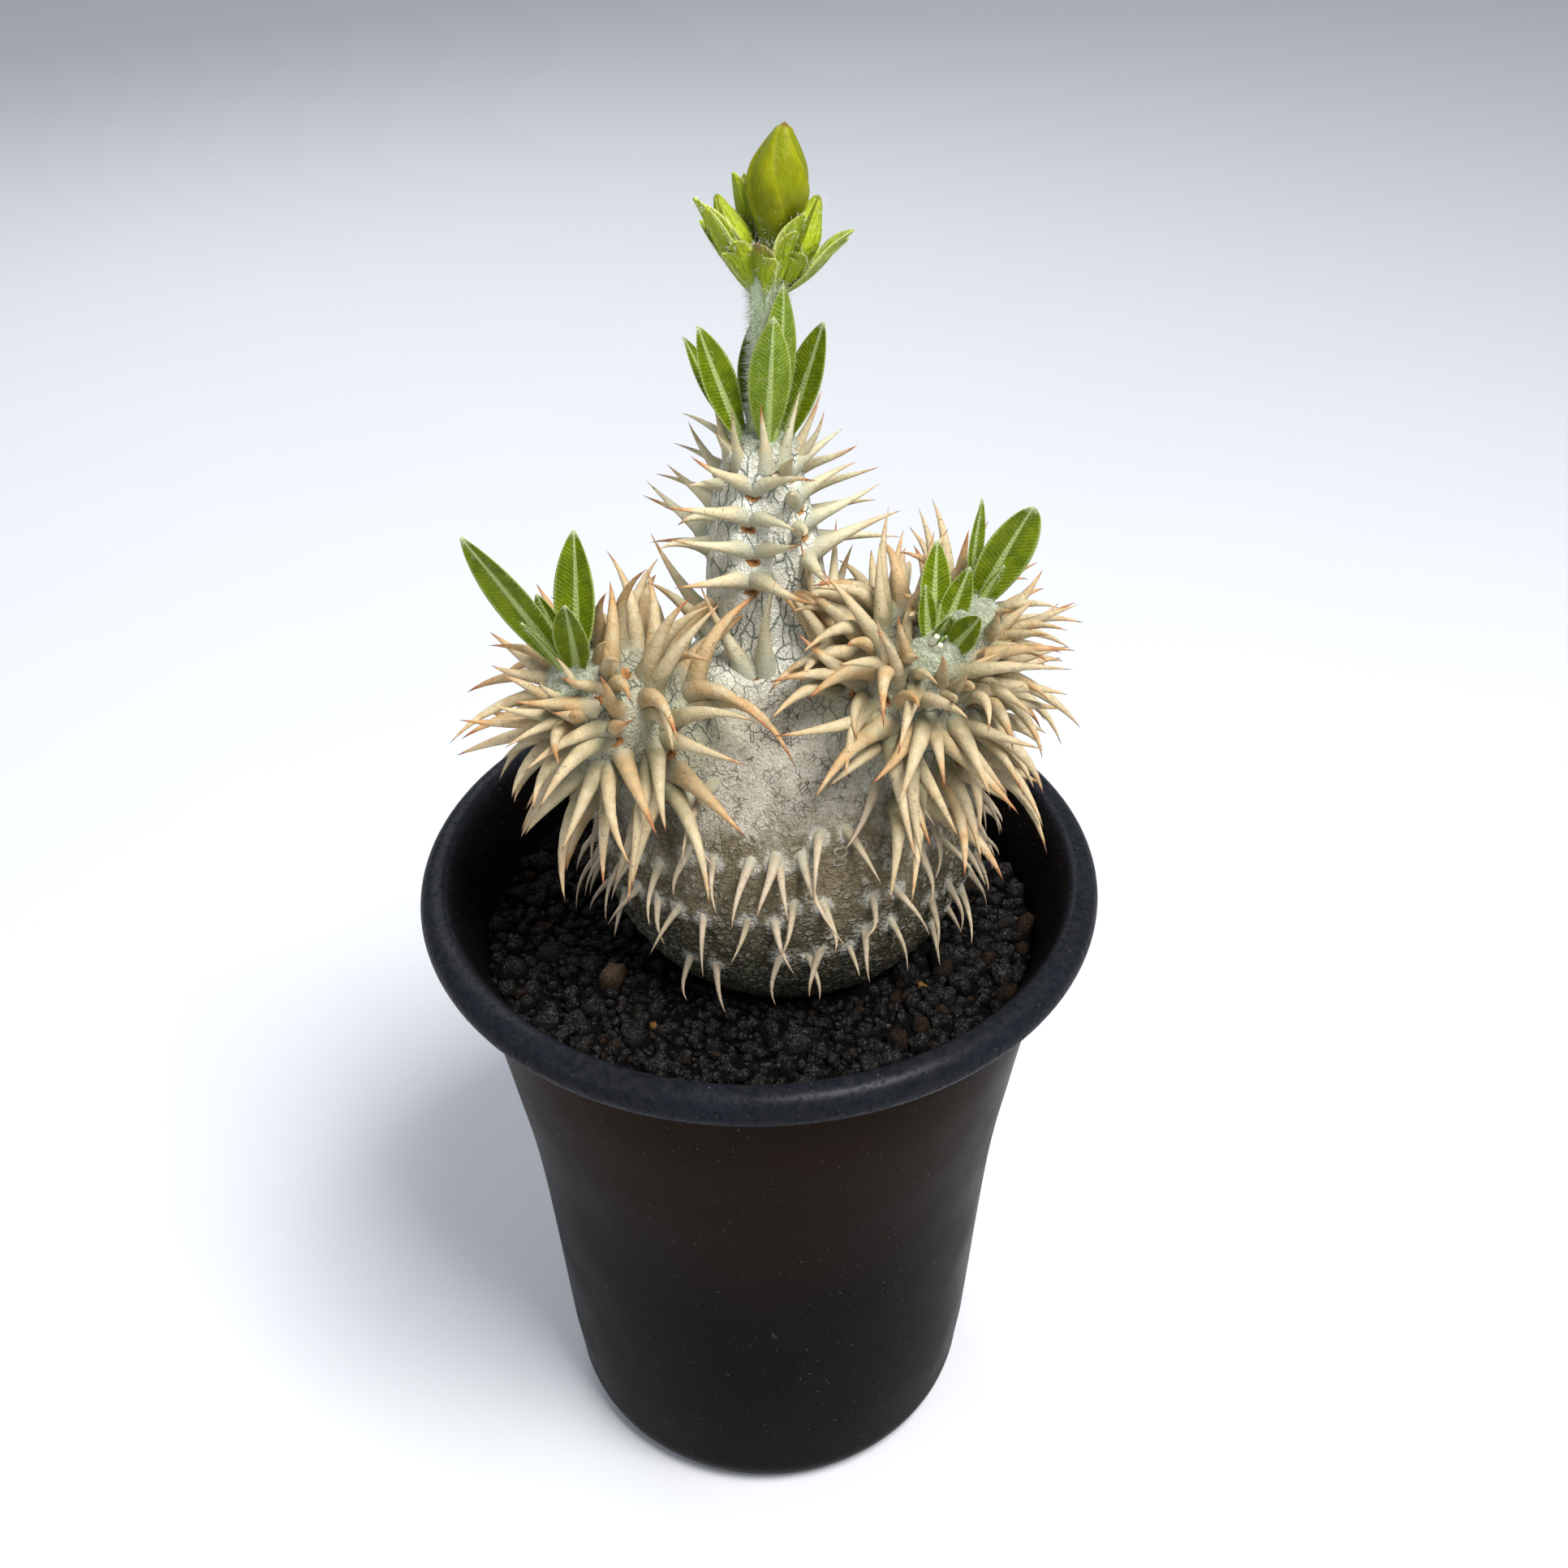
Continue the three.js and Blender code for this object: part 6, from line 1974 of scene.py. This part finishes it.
class PLANT_OT_caudex(bpy.types.Operator):
    """Add the woody body: its skin with scales, mounds and pits, and the wool at its growing ends"""

    bl_idname = "plant.caudex"
    bl_label = "Add Woody Body"

    def execute(self, context):
        settings = context.scene.potted_plant.bark
        material = material_for("bark", bark_finish, settings)
        spines, pits = all_spines()
        points, faces = body_skin(settings.skin_cell / MM)
        normals = unit(body_slope(points))
        globe_roots = spines["skin"][spines["family"] == GLOBE_FAMILY]
        other_roots = spines["skin"][spines["family"] != GLOBE_FAMILY]
        collar = bell(nearest(points, globe_roots), COLLAR_WIDTH)
        mound = bell(nearest(points, other_roots), MOUND_WIDTH)
        pit = pit_depth(points, pits)
        low_globe = 1 - smooth_rise(points[:, 2], 120, 140)
        scale = 0.6 - np.minimum(scattered_cells(points * [1, 1, 1.2], SCALE_SIZE), 0.6)
        warts = 0.5 - np.minimum(scattered_cells(points, WART_SIZE), 0.5)
        waves = scattered_cells(points, WAVE_SIZE) - 0.5
        lift = COLLAR_LIFT * collar + MOUND_LIFT * mound - PIT_DEPTH * pit + WAVE_LIFT * waves
        lift = lift + SCALE_LIFT * scale * (0.25 + 0.75 * low_globe) + WART_LIFT * warts * (1 - low_globe)
        ends = [tip_distance(points, stem) for stem in (NECK, LEFT_BRANCH, RIGHT_FRONT, RIGHT_BACK)]
        stem = smooth_rise(globe_field(points), 1.0, 4.5)
        away = np.hypot(points[:, 0] - 2, points[:, 1] - 5)
        neck = (1 - smooth_rise(away, 11, 16)) * smooth_rise(points[:, 2], 143, 152)
        wool = 1 - smooth_rise(np.min(ends, axis=0), 3, 6)
        values = {
            "collar": collar, "scar": pit * (1 - 0.6 * wool), "stem": stem, "neck": neck, "wool": wool,
            "down": np.maximum(wool, 0.12 * collar),
        }
        points = points + normals * lift[:, None]
        skin = piece_from("caudex_skin", points, faces.tolist(), material, values, False)
        dress(skin, "bark", "caudex")
        grow_down(skin, "caudex_wool", "bark", 1, 70)
        return {"FINISHED"}


class PLANT_OT_spines(bpy.types.Operator):
    """Add the paired spines, which leave out those that would pass through a leaf"""

    bl_idname = "plant.spines"
    bl_label = "Add Spines"

    def execute(self, context):
        settings = context.scene.potted_plant.spines
        spines, _ = all_spines()
        lines, reach = spine_lines(spines), spine_reach(spines)
        clear = clear_of_leaves(lines, reach)
        lines, reach = lines[clear], reach[clear]
        count, stations = reach.shape
        mesh = bpy.data.meshes.new("spine_lines")
        starts = np.arange(count)[:, None] * stations + np.arange(stations - 1)
        edges = np.stack([starts, starts + 1], axis=-1).reshape(-1, 2)
        mesh.from_pydata((lines.reshape(-1, 3) * MM).tolist(), edges.tolist(), [])
        carry(mesh, {
            "reach": reach * MM,
            "along": np.broadcast_to(SPINE_STATIONS, reach.shape),
            "tone": np.repeat(spines["tone"][clear], stations),
            "family": np.repeat(spines["family"][clear], stations),
        })
        host = linked("spine_lines", mesh)
        inputs = {
            "Sides": settings.sides, "Girth": settings.girth,
            "Material": material_for("spine", spine_finish, settings),
        }
        piece = linked("caudex_spines", grown(host, spine_tree(), inputs))
        drop(host)
        dress(piece, "bark", "caudex")
        return {"FINISHED"}


# Stage


class PLANT_OT_stage(bpy.types.Operator):
    """Add the pale floor, the soft lights and the camera"""

    bl_idname = "plant.stage"
    bl_label = "Add Stage"

    def execute(self, context):
        settings = context.scene.potted_plant.stage
        self.add_floor(settings)
        self.add_camera(context)
        for name, light in LIGHTS.items():
            self.add_light(f"{name}_light", getattr(settings, f"{name}_power"), *light)
        world = bpy.data.worlds.new("studio")
        world.use_nodes = True
        background = world.node_tree.nodes["Background"]
        background.inputs["Color"].default_value = (*settings.sky_colour, 1)
        background.inputs["Strength"].default_value = settings.sky_strength
        context.scene.world = world
        context.scene.view_settings.view_transform = "Standard"
        return {"FINISHED"}

    def add_floor(self, settings):
        """A wide thin slab under the pot."""
        half = FLOOR_HALF_WIDTH
        corners = [(-half, -half), (half, -half), (half, half), (-half, half)]
        rings = [[(x, y, height) for x, y in corners] for height in (-FLOOR_THICKNESS, 0)]
        floor = piece_from("floor", *loft(rings), floor_finish(settings))
        floor.data.shade_flat()
        floor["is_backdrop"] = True

    def add_light(self, name, power, place, size, colour):
        """A square soft light."""
        data = bpy.data.lights.new(name, "AREA")
        data.size = size
        data.energy = power
        data.color = colour
        light = bpy.data.objects.new(name, data)
        bpy.context.scene.collection.objects.link(light)
        light.location = place
        way = Vector(LIGHT_TARGET) - Vector(place)
        light.rotation_euler = way.to_track_quat("-Z", "Y").to_euler()

    def add_camera(self, context):
        """The camera at the fitted view."""
        yaw, pitch, roll = map(math.radians, (CAMERA_YAW, CAMERA_PITCH, CAMERA_ROLL))
        level = math.cos(pitch)
        forward = np.array([math.sin(yaw) * level, math.cos(yaw) * level, -math.sin(pitch)])
        right = np.array([math.cos(yaw), -math.sin(yaw), 0])
        down = np.cross(forward, right)
        rolled_right = right * math.cos(roll) + down * math.sin(roll)
        rolled_down = down * math.cos(roll) - right * math.sin(roll)
        turn = Matrix(np.stack([rolled_right, -rolled_down, -forward], axis=1).tolist()).to_4x4()
        data = bpy.data.cameras.new("camera")
        data.lens = CAMERA_LENS
        data.sensor_width = CAMERA_SENSOR
        camera = bpy.data.objects.new("camera", data)
        camera.matrix_world = Matrix.Translation(Vector(CAMERA_PLACE) * MM) @ turn
        context.scene.collection.objects.link(camera)
        context.scene.camera = camera


class PLANT_PT_panel(bpy.types.Panel):
    """The plant's pieces and settings"""

    bl_label = "Potted Pachypodium"
    bl_idname = "PLANT_PT_panel"
    bl_space_type = "VIEW_3D"
    bl_region_type = "UI"
    bl_category = "Plant"

    def draw(self, context):
        column = self.layout.column(align=True)
        for operator in OPERATORS:
            column.operator(operator.bl_idname)
        plant = context.scene.potted_plant
        for label in plant.bl_rna.properties.keys():
            group = getattr(plant, label)
            if not isinstance(group, bpy.types.PropertyGroup):
                continue
            box = self.layout.box()
            box.label(text=label.title())
            for name in group.bl_rna.properties.keys():
                if name not in ("rna_type", "name"):
                    box.prop(group, name)


OPERATORS = (
    PLANT_OT_stage, PLANT_OT_pot, PLANT_OT_soil, PLANT_OT_leaves, PLANT_OT_stalk, PLANT_OT_bracts,
    PLANT_OT_bud, PLANT_OT_caudex, PLANT_OT_spines,
)
SETTINGS = (
    PotSettings, SoilSettings, BarkSettings, SpineSettings, LeafSettings, FlowerSettings, StageSettings,
    PlantSettings,
)


def register():
    """Registers the settings, the operators and the panel."""
    for item in (*SETTINGS, *OPERATORS, PLANT_PT_panel):
        bpy.utils.register_class(item)
    bpy.types.Scene.potted_plant = PointerProperty(type=PlantSettings)


def unregister():
    """Removes what register added."""
    del bpy.types.Scene.potted_plant
    for item in reversed((*SETTINGS, *OPERATORS, PLANT_PT_panel)):
        bpy.utils.unregister_class(item)


def main():
    """Builds the plant on its stage."""
    register()
    bpy.ops.plant.stage()
    bpy.ops.plant.pot()
    bpy.ops.plant.soil()
    bpy.ops.plant.leaves()
    bpy.ops.plant.stalk()
    bpy.ops.plant.bracts()
    bpy.ops.plant.bud()
    bpy.ops.plant.caudex()
    bpy.ops.plant.spines()
    boxes = {"cad": CAD_BOX, "visual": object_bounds()}
    sizes = {name: [[float(number) for number in corner] for corner in box] for name, box in boxes.items()}


if __name__ == "__main__":
    main()
